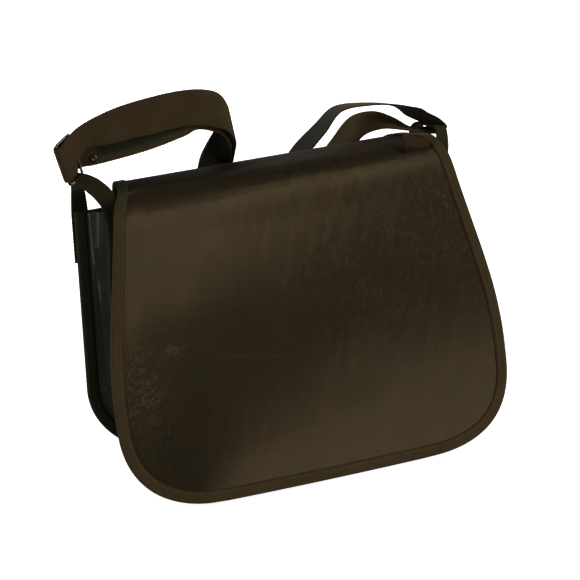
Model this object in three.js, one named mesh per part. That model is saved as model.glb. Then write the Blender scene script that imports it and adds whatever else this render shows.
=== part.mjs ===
// Hunting bag: a flap bag of dark leather with taped edges on a doubled webbing strap.
// It stands on its rounded bottom. Millimetres, +Z up, -Y to the front, +X to the right of the front.
import * as THREE from "three";

// Thicknesses and the clearance between pieces
const LEATHER = 2.0;
const GUSSET_LEATHER = 1.6;
const TAPE = 1.2;
const WEBBING = 2.0;
const CLEAR = 0.3;

// Body: two panels with elliptical lower corners, leaning towards each other; the front is eased in at its top
const BODY_HALF_WIDTH = 195.5;
const BODY_BOTTOM = 19.5;
const BODY_CORNER = { wide: 119, high: 84 };
const FRONT_EASE = { reach: 7, from: 215 };
const BACK_TOP = 286;
const FRONT_TOP = 284;
const BACK_FOOT_Y = 59;
const BACK_LEAN = -0.046;
const FRONT_FOOT_Y = -58;
const FRONT_LEAN = 0.14;
const SEAM_HEIGHT = 11;
const FLANGE = 10;

// Flap: its front leans back and bows out, hangs a little lower at the right, sags at the middle of its lower
// edge, and has superelliptical lower corners, the right one fuller
const FLAP_FOOT_Y = -72;
const FLAP_LEAN = 0.158;
const FLAP_BOW = 5;
const FLAP_HEIGHT = 300;
const FLAP_BOTTOM = 4.5;
const FLAP_WIDEST = 214.3;
const FLAP_SKEW = 0.008;
const FLAP_SAG = { drop: 2, half: 170 };
const FLAP_CORNER = { wide: 105, high: 92, leftPower: 2.4, rightPower: 2.65 };
const BINDING_REACH = 11;
const INNER_REACH = 9.4;

// Strap, loops, slide, rivet and label
const STRAP_WIDTH = 38;
const LOOP_WIDTH = 18;
const SLIDE = { wide: 24, high: 48, bar: 2.4, corner: 3.6, x: -197.6, y: 42.8, z: 339, tilt: -20, turn: 28 };
const SLIDE_TURN_RADIUS = 3.2;
const STRAP_ON_SLIDE = 1.5;
const RIVET = { radius: 4, shoulder: 3.2, crown: 1.6, high: 1.6, shoulderHigh: 1.1, low: 11 };
const LABEL = { inner: 0.765, outer: 0.925, firstRow: 4.6, lastRow: 7.4, thick: 1.2, rise: 6 };

const FINISHES = {
  leather: { color: 0x32291d, roughness: 0.45 },
  gusset: { color: 0x14140f, roughness: 0.5 },
  tape: { color: 0x3a2f20, roughness: 0.85 },
  webbing: { color: 0x3a2f1f, roughness: 0.9 },
  metal: { color: 0x4a463a, roughness: 0.4, metalness: 1 },
};

// Flap rows over the hinge and the top: the leather's middle and its half width
const FLAP_TOP_ROWS = [
  { y: 49.6, z: 262, half: 151 },
  { y: 48.5, z: 287, half: 151 },
  { y: 47, z: 299, half: 152.5 },
  { y: 39.5, z: 308, half: 155 },
  { y: 25, z: 312, half: 159 },
  { y: 2, z: 312, half: 166 },
  { y: -14, z: 309.5, half: 173 },
  { y: -22, z: 303.5, half: 179 },
];

// Flap rows down the front, above the lower corners
const FLAP_FRONT_ROWS = [
  { z: 293, half: 183.2 },
  { z: 260, half: 190 },
  { z: 225, half: 197.4 },
  { z: 190, half: 204.9 },
  { z: 155, half: 211 },
  { z: 122, half: 214 },
];

// Gusset section: share of the way from back to front, height out from the wall line, and what follows
// the bottom's bulge and the side's pleat
const GUSSET_ROWS = [
  { depth: 0, stand: FLANGE, bulge: 0, pleat: 0 },
  { depth: 0, stand: 0, bulge: 0, pleat: 0 },
  { depth: 0.06, stand: 0, bulge: 0, pleat: 0 },
  { depth: 0.12, stand: 0, bulge: 0.6, pleat: -0.5 },
  { depth: 0.24, stand: 0, bulge: 1, pleat: -0.2 },
  { depth: 0.3, stand: 0, bulge: 1, pleat: 1 },
  { depth: 0.36, stand: 0, bulge: 1, pleat: -0.3 },
  { depth: 0.56, stand: 0, bulge: 1, pleat: -0.6 },
  { depth: 0.76, stand: 0, bulge: 1, pleat: -0.3 },
  { depth: 0.88, stand: 0, bulge: 0.6, pleat: 0 },
  { depth: 0.94, stand: 0, bulge: 0, pleat: 0 },
  { depth: 1, stand: 0, bulge: 0, pleat: 0 },
  { depth: 1, stand: FLANGE, bulge: 0, pleat: 0 },
];
const BULGE_START = 0.45;
const PLEAT = 5;
const PLEAT_END = 190;
const GUSSET_TOP_SLOPE = 9;
const GUSSET_EASED = 0.9;

// Webbing loops from the back panel over the body's corner to the front panel, with the share of the full
// width, and the swing (backwards) and rise of the webbing towards its right edge
const LEFT_LOOP_ROWS = [
  { x: -189, y: 52.2, z: 234, share: 1, swing: 0, rise: 0 },
  { x: -189, y: 51.2, z: 260, share: 1, swing: 0, rise: 0 },
  { x: -189, y: 50.2, z: 284, share: 1, swing: 0, rise: 0 },
  { x: -188, y: 52.5, z: 302, share: 0.9, swing: 0.15, rise: 0.1 },
  { x: -189.3, y: 52.5, z: 314, share: 0.78, swing: 0.45, rise: 0.3 },
  { x: -190.8, y: 50.4, z: 319, share: 0.72, swing: 0.5, rise: 0.32 },
  { x: -191.3, y: 46.2, z: 320.8, share: 0.7, swing: 0.53, rise: 0.32 },
  { x: -190, y: 40.5, z: 320.6, share: 0.74, swing: 0.45, rise: 0.3 },
  { x: -185, y: 20, z: 315.5, share: 0.9, swing: 0.1, rise: 0.1 },
  { x: -182, y: 3, z: 309.5, share: 1, swing: 0, rise: 0 },
  { x: -181.5, y: -11, z: 300.5, share: 1, swing: 0, rise: 0 },
  { x: -182, y: -21, z: 289, share: 1, swing: 0, rise: 0 },
  { x: -182, y: -23.6, z: 279, share: 1, swing: 0, rise: 0 },
  { x: -182, y: -26.3, z: 257, share: 1, swing: 0, rise: 0 },
];
const RIGHT_LOOP_ROWS = [
  { x: 189, y: 52.2, z: 234, share: 1, swing: 0, rise: 0 },
  { x: 189, y: 51.2, z: 260, share: 1, swing: 0, rise: 0 },
  { x: 189, y: 50.2, z: 284, share: 1, swing: 0, rise: 0 },
  { x: 190, y: 52.5, z: 302, share: 0.95, swing: 0, rise: 0 },
  { x: 192, y: 52, z: 312.5, share: 0.85, swing: 0, rise: 0 },
  { x: 193, y: 47.5, z: 316.6, share: 0.75, swing: 0, rise: 0 },
  { x: 193.5, y: 27, z: 317.5, share: 0.72, swing: 0, rise: 0 },
  { x: 192.5, y: 5, z: 316.6, share: 0.7, swing: 0, rise: 0 },
  { x: 191, y: -1, z: 311.5, share: 0.7, swing: 0, rise: 0 },
  { x: 187.5, y: -7, z: 304, share: 0.75, swing: 0, rise: 0 },
  { x: 182, y: -14.5, z: 297.5, share: 0.8, swing: 0, rise: 0 },
  { x: 178, y: -21, z: 289, share: 0.9, swing: 0, rise: 0 },
  { x: 176, y: -23.6, z: 279, share: 1, swing: 0, rise: 0 },
  { x: 175, y: -26.3, z: 257, share: 1, swing: 0, rise: 0 },
];

// Strap: the outer run over the left arch, up to the loose slanting fold
const LEFT_ARCH_OUTER = [
  { x: -180, y: 44, z: 353, wx: -0.22, wy: 0, wz: 0.88 },
  { x: -144, y: 47, z: 363, wx: -0.15, wy: 0, wz: 0.95 },
  { x: -109, y: 48, z: 368, wx: -0.07, wy: 0, wz: 0.96 },
  { x: -74, y: 49, z: 370, wx: 0.02, wy: 0, wz: 0.96 },
];
const FOLD_OUTER = [
  { x: -53, y: 50, z: 368.5, wx: 0.05, wy: 0, wz: 0.96 },
  { x: -36, y: 52.5, z: 364, wx: 0.09, wy: 0.08, wz: 0.94 },
  { x: -23, y: 57, z: 357.5, wx: 0.07, wy: 0.31, wz: 0.88 },
  { x: -14, y: 63.5, z: 348, wx: 0.07, wy: 0.43, wz: 0.84 },
  { x: -8.5, y: 71.5, z: 338, wx: 0.08, wy: 0.52, wz: 0.82 },
  { x: -9, y: 78, z: 329.5, wx: 0, wy: 0.54, wz: 0.82 },
  { x: -13.5, y: 81.5, z: 320.5, wx: -0.28, wy: 0.4, wz: 0.82 },
  { x: -20, y: 83.5, z: 310, wx: -0.68, wy: 0.12, wz: 0.62 },
  { x: -25, y: 83, z: 302, wx: -0.88, wy: 0.05, wz: 0.36 },
];

// The same run hidden behind the bag: down, round and up to the right loop, then through it
const BEHIND_OUTER = [
  { x: -28, y: 82.5, z: 286, wx: -1, wy: 0, wz: 0.1 },
  { x: -29, y: 84, z: 255, wx: -0.75, wy: -0.66, wz: 0 },
  { x: -30, y: 84, z: 212, wx: -0.1, wy: -1, wz: 0 },
  { x: -16, y: 84, z: 166, wx: 0, wy: -1, wz: 0 },
  { x: 37, y: 84, z: 142, wx: 0, wy: -1, wz: 0 },
  { x: 90, y: 84, z: 166, wx: 0, wy: -1, wz: 0 },
  { x: 103, y: 82, z: 212, wx: 0, wy: -1, wz: 0 },
  { x: 102, y: 77, z: 265, wx: 0, wy: -1, wz: 0 },
  { x: 107, y: 70, z: 303, wx: 0, wy: -0.95, wz: -0.3 },
  { x: 128, y: 63, z: 320, wx: -0.1, wy: -0.92, wz: -0.38 },
  { x: 143, y: 56, z: 324, wx: -0.2, wy: -0.9, wz: -0.35 },
  { x: 157, y: 46, z: 321.5, wx: -0.25, wy: -0.93, wz: -0.2 },
  { x: 171, y: 34, z: 315.5, wx: -0.2, wy: -0.98, wz: 0 },
  { x: 186, y: 27, z: 312, wx: -0.15, wy: -0.98, wz: 0 },
  { x: 201, y: 25.5, z: 311.8, wx: -0.1, wy: -0.99, wz: 0 },
  { x: 206.5, y: 25, z: 316.8, wx: -0.1, wy: -0.99, wz: 0 },
  { x: 201, y: 25.5, z: 321.4, wx: -0.1, wy: -0.99, wz: 0 },
];

// Back over the right arch, hidden again inside the first run, and up to the left arch's inner run
const BEHIND_INNER = [
  { x: 195, y: 30, z: 327, wx: -0.2, wy: -0.94, wz: -0.28 },
  { x: 183, y: 41, z: 334.5, wx: -0.2, wy: -0.97, wz: -0.1 },
  { x: 166, y: 50, z: 339, wx: -0.15, wy: -0.97, wz: 0.1 },
  { x: 137, y: 60, z: 341.5, wx: -0.1, wy: -0.98, wz: 0.16 },
  { x: 112, y: 66, z: 337, wx: 0, wy: -0.98, wz: 0.15 },
  { x: 92, y: 70, z: 323, wx: 0, wy: -0.99, wz: 0.1 },
  { x: 72, y: 76, z: 301, wx: 0, wy: -1, wz: 0 },
  { x: 64, y: 80, z: 255, wx: 0, wy: -1, wz: 0 },
  { x: 62, y: 83, z: 216, wx: 0, wy: -1, wz: 0 },
  { x: 50, y: 84, z: 186, wx: 0, wy: -1, wz: 0 },
  { x: 19, y: 84, z: 171, wx: 0, wy: -1, wz: 0 },
  { x: -12, y: 84, z: 186, wx: 0, wy: -1, wz: 0 },
  { x: -24, y: 83.5, z: 216, wx: -0.1, wy: -1, wz: 0 },
  { x: -25, y: 79.5, z: 255, wx: -0.75, wy: -0.66, wz: 0 },
  { x: -27.5, y: 76.5, z: 286, wx: -1, wy: 0, wz: 0.1 },
];
const FOLD_INNER = [
  { x: -26, y: 77, z: 301.5, wx: -0.88, wy: 0.05, wz: 0.36 },
  { x: -22, y: 77.5, z: 309, wx: -0.67, wy: 0.12, wz: 0.62 },
  { x: -18, y: 77.2, z: 319.5, wx: -0.28, wy: 0.38, wz: 0.82 },
  { x: -14.8, y: 76, z: 328.5, wx: -0.03, wy: 0.5, wz: 0.82 },
  { x: -14.5, y: 72, z: 336, wx: 0.06, wy: 0.48, wz: 0.82 },
  { x: -19, y: 67, z: 344.5, wx: 0.06, wy: 0.4, wz: 0.84 },
  { x: -27, y: 62, z: 353, wx: 0.06, wy: 0.28, wz: 0.88 },
  { x: -37, y: 59, z: 359, wx: 0.07, wy: 0.08, wz: 0.94 },
  { x: -52, y: 57, z: 363, wx: 0.05, wy: 0, wz: 0.96 },
];
const LEFT_ARCH_INNER = [
  { x: -72, y: 56, z: 358.5, wx: 0, wy: 0, wz: 0.97 },
  { x: -107, y: 54.5, z: 352, wx: -0.1, wy: 0, wz: 0.97 },
  { x: -143, y: 53, z: 348, wx: -0.13, wy: 0, wz: 0.96 },
  { x: -170, y: 52, z: 345.5, wx: -0.15, wy: 0, wz: 0.93 },
];

const easeIn = (z) => FRONT_EASE.reach * THREE.MathUtils.smoothstep(z, FRONT_EASE.from, FRONT_TOP);
const lastOf = (list) => list[list.length - 1];
const steps = (count, make) => Array.from({ length: count + 1 }, (_, i) => make(i / count));
const backPlane = (z) => BACK_FOOT_Y + BACK_LEAN * z;
const frontPlane = (z) => FRONT_FOOT_Y + FRONT_LEAN * z;
const flapFront = (z) => FLAP_FOOT_Y + FLAP_LEAN * z - FLAP_BOW * Math.sin((Math.PI * z) / FLAP_HEIGHT);

// A closed geometry from its corner points and faces.
function solid(points, faces) {
  const geometry = new THREE.BufferGeometry();
  geometry.setAttribute("position", new THREE.Float32BufferAttribute(points.flatMap((p) => p.toArray()), 3));
  geometry.setIndex(faces.flat());
  return geometry;
}

// A leather wall: a grid of middle points, thickened evenly to both sides and closed at its four edges.
function wall(grid, thickness) {
  const rows = grid.length;
  const columns = grid[0].length;
  const half = thickness / 2;
  const side = (sign) => grid.map((row, j) => row.map((point, i) => {
    const across = row[Math.min(i + 1, columns - 1)].clone().sub(row[Math.max(i - 1, 0)]);
    const along = grid[Math.min(j + 1, rows - 1)][i].clone().sub(grid[Math.max(j - 1, 0)][i]);
    return point.clone().addScaledVector(across.cross(along).normalize(), sign * half);
  }));
  const points = [...side(1).flat(), ...side(-1).flat()];
  const top = (i, j) => j * columns + i;
  const under = (i, j) => rows * columns + top(i, j);
  const faces = [];
  const quad = (a, b, c, d) => faces.push([a, b, c], [a, c, d]);
  for (let j = 0; j < rows - 1; j++) {
    for (let i = 0; i < columns - 1; i++) {
      quad(top(i, j), top(i + 1, j), top(i + 1, j + 1), top(i, j + 1));
      quad(under(i, j), under(i, j + 1), under(i + 1, j + 1), under(i + 1, j));
    }
    quad(top(0, j), top(0, j + 1), under(0, j + 1), under(0, j));
    quad(top(columns - 1, j + 1), top(columns - 1, j), under(columns - 1, j), under(columns - 1, j + 1));
  }
  for (let i = 0; i < columns - 1; i++) {
    quad(top(i + 1, 0), top(i, 0), under(i, 0), under(i + 1, 0));
    quad(top(i, rows - 1), top(i + 1, rows - 1), under(i + 1, rows - 1), under(i, rows - 1));
  }
  return solid(points, faces);
}

// A section carried along stations, each with a place, a side direction and a share of the full width.
// The section's points are [side, face], anticlockwise. Without a face direction of its own, a station's
// side is squared to the travel and its face direction is travel x side.
function sweep(stations, section, closed = false) {
  const count = stations.length;
  const size = section.length;
  const neighbour = (i) => (closed ? (i + count) % count : THREE.MathUtils.clamp(i, 0, count - 1));
  const frame = ({ side, face }, i) => {
    if (face) return [side, face];
    const travel = stations[neighbour(i + 1)].place.clone().sub(stations[neighbour(i - 1)].place).normalize();
    const square = side.clone().addScaledVector(travel, -side.dot(travel)).normalize();
    return [square, travel.cross(square)];
  };
  const points = stations.flatMap((station, i) => {
    const [side, face] = frame(station, i);
    const { place, share = 1 } = station;
    return section.map(([s, f]) => place.clone().addScaledVector(side, s * share).addScaledVector(face, f));
  });
  const faces = [];
  for (let i = 0; i < (closed ? count : count - 1); i++) {
    const next = (i + 1) % count;
    for (let k = 0; k < size; k++) {
      const m = (k + 1) % size;
      const corner = i * size + k;
      const far = next * size + m;
      faces.push([corner, i * size + m, far], [corner, far, next * size + k]);
    }
  }
  if (!closed) {
    const end = (count - 1) * size;
    const cap = THREE.ShapeUtils.triangulateShape(section.map(([s, f]) => new THREE.Vector2(s, f)), []);
    cap.forEach(([a, b, c]) => faces.push([a, c, b], [end + a, end + b, end + c]));
  }
  return solid(points, faces);
}

// Tape folded over an edge: a channel whose slot runs from low to high on the face direction, with the
// reach of its leg on each side.
function foldedTape({ low, high, lowReach = BINDING_REACH, highReach = BINDING_REACH }) {
  const lip = CLEAR + TAPE;
  return [
    [-lowReach, low - TAPE],
    [lip, low - TAPE],
    [lip, high + TAPE],
    [-highReach, high + TAPE],
    [-highReach, high],
    [CLEAR, high],
    [CLEAR, low],
    [-lowReach, low],
  ];
}

// Flat webbing of a width.
function flatWebbing(width) {
  return [
    [-width / 2, -WEBBING / 2],
    [width / 2, -WEBBING / 2],
    [width / 2, WEBBING / 2],
    [-width / 2, WEBBING / 2],
  ];
}

// A smooth line through rows of x, y, z.
function smooth(rows, closed = false) {
  const points = rows.map(({ x, y, z }) => new THREE.Vector3(x, y, z));
  return new THREE.CatmullRomCurve3(points, closed, "centripetal");
}

// One edge of the flap: over the top by its rows, down the front, and round the lower corner.
const CORNER_STEPS = 9;
function flapRim(sign, power) {
  const corner = steps(CORNER_STEPS, (t) => {
    const angle = (t * Math.PI) / 2;
    const shape = (value) => Math.abs(value) ** (2 / power);
    return {
      half: FLAP_WIDEST - FLAP_CORNER.wide * (1 - shape(Math.cos(angle))),
      z: FLAP_BOTTOM + FLAP_CORNER.high * (1 - shape(Math.sin(angle))),
    };
  });
  const front = [...FLAP_FRONT_ROWS, ...corner].map(({ z, half }) => {
    const skew = FLAP_SKEW * sign * half * (1 - z / FLAP_HEIGHT);
    return { x: sign * half, y: flapFront(z), z: z - skew };
  });
  return smooth([...FLAP_TOP_ROWS.map(({ y, z, half }) => ({ x: sign * half, y, z })), ...front]);
}
const flapLeft = flapRim(-1, FLAP_CORNER.leftPower);
const flapRight = flapRim(1, FLAP_CORNER.rightPower);
const FLAP_SPANS = FLAP_TOP_ROWS.length + FLAP_FRONT_ROWS.length + CORNER_STEPS;

// A point of the flap's middle surface: u runs from the left edge to the right, v from hem to bottom.
function flapPoint(u, v) {
  const point = flapLeft.getPoint(v).lerp(flapRight.getPoint(v), (1 + u) / 2);
  const low = Math.max(1 - point.z / FLAP_HEIGHT, 0);
  point.z -= FLAP_SAG.drop * Math.max(1 - (point.x / FLAP_SAG.half) ** 2, 0) * low * low;
  return point;
}

// The flap's inward normal, from two short steps on its surface.
function flapNormal(u, v) {
  const step = 1e-3;
  const across = flapPoint(u + step, v).sub(flapPoint(u - step, v));
  const along = flapPoint(u, Math.min(v + step, 1)).sub(flapPoint(u, Math.max(v - step, 0)));
  return across.cross(along).normalize();
}

const FLAP_COLUMNS = 10;
const FLAP_STEPS_PER_ROW = 2;
const HINGE_ROW = 1.25;
const flapV = steps(FLAP_SPANS * FLAP_STEPS_PER_ROW, (t) => t);

function flapLeather() {
  return wall(flapV.map((v) => steps(FLAP_COLUMNS, (t) => flapPoint(2 * t - 1, v))), LEATHER);
}

// The tape runs from the hinge's left end round the flap to the hinge's right end.
function flapBinding() {
  const down = flapV.filter((v) => v > HINGE_ROW / FLAP_SPANS);
  const rim = [
    ...down.map((v) => [-1, v]),
    ...steps(FLAP_COLUMNS, (t) => [2 * t - 1, 1]).slice(1, -1),
    ...down.toReversed().map((v) => [1, v]),
  ];
  const places = rim.map(([u, v]) => flapPoint(u, v));
  const rollEnd = FLAP_TOP_ROWS.length / FLAP_SPANS;
  const stations = rim.map(([u, v], i) => {
    const face = flapNormal(u, v);
    const travel = places[Math.min(i + 1, rim.length - 1)].clone().sub(places[Math.max(i - 1, 0)]);
    const level = new THREE.Vector3(Math.sign(u), 0, 0);
    const side = v < rollEnd ? level : face.clone().cross(travel).normalize();
    return { place: places[i], side, face };
  });
  const slot = LEATHER / 2 + CLEAR;
  return sweep(stations, foldedTape({ low: -slot, high: slot }));
}

// The body's edge from its left top down, along the bottom and up to its right top, as x and z, with the share
// of the front's easing.
const SIDE_STEPS = 6;
const BODY_CORNER_STEPS = 8;
const BOTTOM_STEPS = 4;
function bodyEdge(top, eased) {
  const start = BODY_BOTTOM + BODY_CORNER.high;
  const left = [
    ...steps(SIDE_STEPS, (t) => {
      const z = THREE.MathUtils.lerp(top, start, t);
      return { x: -BODY_HALF_WIDTH + eased * easeIn(z), z };
    }),
    ...steps(BODY_CORNER_STEPS, (t) => ({
      x: -BODY_HALF_WIDTH + BODY_CORNER.wide * (1 - Math.cos((t * Math.PI) / 2)),
      z: start - BODY_CORNER.high * Math.sin((t * Math.PI) / 2),
    })).slice(1),
  ];
  const flat = lastOf(left).x;
  const bottom = steps(BOTTOM_STEPS, (t) => ({ x: flat * (1 - 2 * t), z: BODY_BOTTOM })).slice(1, -1);
  const right = left.toReversed().map(({ x, z }) => ({ x: -x, z }));
  const edge = [...left, ...bottom, ...right];
  return edge.map((point, i) => {
    const before = edge[Math.max(i - 1, 0)];
    const after = edge[Math.min(i + 1, edge.length - 1)];
    const outward = new THREE.Vector2(after.z - before.z, before.x - after.x).normalize();
    return { ...point, out: outward };
  });
}

// A flat leather panel in a leaning plane, as strips between the edge's left and right halves.
const PANEL_COLUMNS = 4;
function panelLeather(plane, top, eased) {
  const edge = bodyEdge(top, eased).filter(({ x }) => x < 0);
  const rows = edge.slice(0, SIDE_STEPS + BODY_CORNER_STEPS + 1);
  const across = ({ x, z }) => (t) => new THREE.Vector3(x * (1 - 2 * t), plane(z), z);
  return wall(rows.map((row) => steps(PANEL_COLUMNS, across(row))), LEATHER);
}

// Tape over the seam of a panel and the gusset's turned edge.
function seamBinding(plane, top, eased, tape) {
  const stations = bodyEdge(top, eased).map(({ x, z, out }) => ({
    place: new THREE.Vector3(x, plane(z), z),
    side: new THREE.Vector3(out.x, plane(z + out.y) - plane(z), out.y),
  }));
  return sweep(stations, foldedTape(tape));
}

// The gusset: a channel from the back seam to the front seam whose bottom bulges down to the ground
// and whose sides have one pleat near the back that fades downwards.
function gussetLeather() {
  const stations = bodyEdge(FRONT_TOP, 0);
  const inset = LEATHER / 2 + CLEAR + GUSSET_LEATHER / 2;
  const cornerTop = BODY_BOTTOM + BODY_CORNER.high;
  const drop = BODY_BOTTOM + SEAM_HEIGHT - GUSSET_LEATHER / 2;
  const grid = stations.map(({ x, z, out }) => GUSSET_ROWS.map((row) => {
    const low = 1 - THREE.MathUtils.clamp((z - BODY_BOTTOM) / BODY_CORNER.high, 0, 1);
    const bulge = drop * THREE.MathUtils.smoothstep(low, BULGE_START, 1);
    const pleat = PLEAT * THREE.MathUtils.smoothstep(z, PLEAT_END, FRONT_TOP);
    const reach = row.stand - SEAM_HEIGHT + row.bulge * bulge + row.pleat * pleat;
    const high = THREE.MathUtils.clamp((z - cornerTop) / (FRONT_TOP - cornerTop), 0, 1);
    const placeZ = z + out.y * reach + GUSSET_TOP_SLOPE * row.depth * high;
    const y = THREE.MathUtils.lerp(backPlane(placeZ) - inset, frontPlane(placeZ) + inset, row.depth);
    const eased = easeIn(z) * THREE.MathUtils.smoothstep(row.depth, 0, GUSSET_EASED);
    return new THREE.Vector3(x + out.x * (reach - eased), y, placeZ);
  }));
  return wall(grid, GUSSET_LEATHER);
}

// A webbing loop along its rows, its width across the body.
const LOOP_STEPS_PER_ROW = 3;
function webbingLoop(rows) {
  const line = smooth(rows);
  const stations = steps((rows.length - 1) * LOOP_STEPS_PER_ROW, (t) => {
    const at = t * (rows.length - 1);
    const first = Math.min(Math.floor(at), rows.length - 2);
    const between = (column) => THREE.MathUtils.lerp(rows[first][column], rows[first + 1][column], at - first);
    const side = new THREE.Vector3(1, between("swing"), between("rise"));
    return { place: line.getPoint(t), side, share: between("share") };
  });
  return sweep(stations, flatWebbing(LOOP_WIDTH));
}

// A rectangle with rounded corners, centred on the origin.
function roundedRectangle(path, wide, high, radius) {
  const x = wide / 2 - radius;
  const y = high / 2 - radius;
  path.moveTo(-x, -y - radius);
  path.absarc(x, -y, radius, -Math.PI / 2, 0);
  path.absarc(x, y, radius, 0, Math.PI / 2);
  path.absarc(-x, y, radius, Math.PI / 2, Math.PI);
  path.absarc(-x, -y, radius, Math.PI, 1.5 * Math.PI);
  return path;
}

// The slide: a flat metal ring with one window, in its own plane.
function slideRing() {
  const outline = roundedRectangle(new THREE.Shape(), SLIDE.wide, SLIDE.high, SLIDE.corner);
  const rims = SLIDE.bar * 2;
  const window = new THREE.Path();
  outline.holes.push(roundedRectangle(window, SLIDE.wide - rims, SLIDE.high - rims, SLIDE.corner - SLIDE.bar));
  const form = { depth: SLIDE.bar, bevelEnabled: false, curveSegments: 4 };
  return new THREE.ExtrudeGeometry(outline, form).translate(0, 0, -SLIDE.bar / 2);
}

// Strap rows round the slide's left bar, from behind the slide to its front.
const SLIDE_TURN_STEPS = 4;
function slideTurn(slide) {
  const bar = (SLIDE.bar - SLIDE.wide) / 2;
  const width = new THREE.Vector3(0, 1, 0).transformDirection(slide.matrixWorld);
  const local = [
    [SLIDE.wide / 2, -SLIDE_TURN_RADIUS],
    ...steps(SLIDE_TURN_STEPS, (t) => {
      const angle = -Math.PI / 2 - t * Math.PI;
      return [bar + SLIDE_TURN_RADIUS * Math.cos(angle), SLIDE_TURN_RADIUS * Math.sin(angle)];
    }),
  ];
  return local.map(([across, out]) => {
    const { x, y, z } = slide.localToWorld(new THREE.Vector3(across, STRAP_ON_SLIDE, out));
    return { x, y, z, wx: width.x, wy: width.y, wz: width.z, slanted: true };
  });
}

// A row's width: squared to the run, except in a fold or on the slide, where the webbing's lines lie slanted.
function rowWidth(route, i) {
  const row = (k) => route[(k + route.length) % route.length];
  const place = ({ x, y, z }) => new THREE.Vector3(x, y, z);
  const { wx, wy, wz, slanted } = row(i);
  const width = new THREE.Vector3(wx, wy, wz);
  if (slanted) return width;
  const share = width.length();
  const travel = place(row(i + 1)).sub(place(row(i - 1))).normalize();
  return width.addScaledVector(travel, -width.dot(travel)).setLength(share);
}

// The strap's stations: one closed run of webbing, with its inner run's last row before the slide.
const STRAP_STEPS_PER_ROW = 2;
function strapStations(slide) {
  const fold = (rows) => rows.map((row) => ({ ...row, slanted: true }));
  const route = [
    ...slideTurn(slide),
    ...LEFT_ARCH_OUTER,
    ...fold(FOLD_OUTER),
    ...BEHIND_OUTER,
    ...BEHIND_INNER,
    ...fold(FOLD_INNER),
    ...LEFT_ARCH_INNER,
  ];
  const line = smooth(route, true);
  const widths = smooth(route.map((_, i) => rowWidth(route, i)), true);
  return steps(route.length * STRAP_STEPS_PER_ROW, (t) => {
    const side = widths.getPoint(t);
    return { place: line.getPoint(t), side, face: line.getTangent(t).cross(side).normalize() };
  }).slice(0, -1);
}

// The rivet's head: a low dome turned round its axis.
const RIVET_SIDES = 12;
function rivetHead() {
  const profile = [
    new THREE.Vector2(0, 0),
    new THREE.Vector2(RIVET.radius, 0),
    new THREE.Vector2(RIVET.shoulder, RIVET.shoulderHigh),
    new THREE.Vector2(RIVET.crown, RIVET.high),
    new THREE.Vector2(0, RIVET.high),
  ];
  return new THREE.LatheGeometry(profile, RIVET_SIDES);
}

// The rivet sits on the front of the strap's inner run, low on its width, just before the slide.
function placeRivet(rivet, stations) {
  const index = stations.length - STRAP_STEPS_PER_ROW;
  const { place, side } = stations[index];
  const travel = stations[index + 1].place.clone().sub(stations[index - 1].place).normalize();
  const upright = side.clone().addScaledVector(travel, -side.dot(travel)).normalize();
  const front = upright.clone().cross(travel);
  rivet.position.copy(place).addScaledVector(upright, -RIVET.low);
  rivet.position.addScaledVector(front, WEBBING / 2 + CLEAR);
  rivet.quaternion.setFromUnitVectors(new THREE.Vector3(0, 1, 0), front);
}

// The label: a bare woven tab on the flap's upper right roll beside the tape, its upper end lifted.
const LABEL_ROWS = 6;
const LABEL_COLUMNS = 3;
function labelTab() {
  const lift = LEATHER / 2 + CLEAR + LABEL.thick / 2;
  const grid = steps(LABEL_ROWS, (t) => steps(LABEL_COLUMNS, (s) => {
    const v = THREE.MathUtils.lerp(LABEL.firstRow, LABEL.lastRow, t) / FLAP_SPANS;
    const u = THREE.MathUtils.lerp(LABEL.inner, LABEL.outer, s);
    return flapPoint(u, v).addScaledVector(flapNormal(u, v), -lift - LABEL.rise * (1 - t));
  }));
  return wall(grid, LABEL.thick);
}

const bag = new THREE.Group();

function addPiece(name, geometry, finish) {
  const mesh = new THREE.Mesh(geometry, new THREE.MeshStandardMaterial(finish));
  mesh.name = name;
  bag.add(mesh);
  return mesh;
}

const panelFace = LEATHER / 2 + CLEAR;
const flangeFace = LEATHER / 2 + CLEAR + GUSSET_LEATHER + CLEAR;
addPiece("flap", flapLeather(), FINISHES.leather);
addPiece("flap_binding", flapBinding(), FINISHES.tape);
addPiece("back_panel", panelLeather(backPlane, BACK_TOP, 0), FINISHES.leather);
addPiece("front_panel", panelLeather(frontPlane, FRONT_TOP, 1), FINISHES.leather);
addPiece("gusset", gussetLeather(), FINISHES.gusset);
const backTape = { low: -flangeFace, high: panelFace, lowReach: INNER_REACH };
const frontTape = { low: -panelFace, high: flangeFace, highReach: INNER_REACH };
addPiece("back_binding", seamBinding(backPlane, BACK_TOP, 0, backTape), FINISHES.tape);
addPiece("front_binding", seamBinding(frontPlane, FRONT_TOP, 1, frontTape), FINISHES.tape);
addPiece("loop_left", webbingLoop(LEFT_LOOP_ROWS), FINISHES.webbing);
addPiece("loop_right", webbingLoop(RIGHT_LOOP_ROWS), FINISHES.webbing);

const slide = addPiece("strap_slide", slideRing(), FINISHES.metal);
const tilt = THREE.MathUtils.degToRad(SLIDE.tilt);
const turn = THREE.MathUtils.degToRad(SLIDE.turn);
slide.position.set(SLIDE.x, SLIDE.y, SLIDE.z);
slide.rotation.set(Math.PI / 2, tilt, turn, "ZYX");
slide.updateMatrixWorld();
const stations = strapStations(slide);
addPiece("strap", sweep(stations, flatWebbing(STRAP_WIDTH), true), FINISHES.webbing);
placeRivet(addPiece("strap_rivet", rivetHead(), FINISHES.metal), stations);
addPiece("label", labelTab(), FINISHES.tape);

export default bag;
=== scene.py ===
from math import cos, pi, radians, sin

import bpy
import numpy as np
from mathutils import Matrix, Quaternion, Vector


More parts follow.
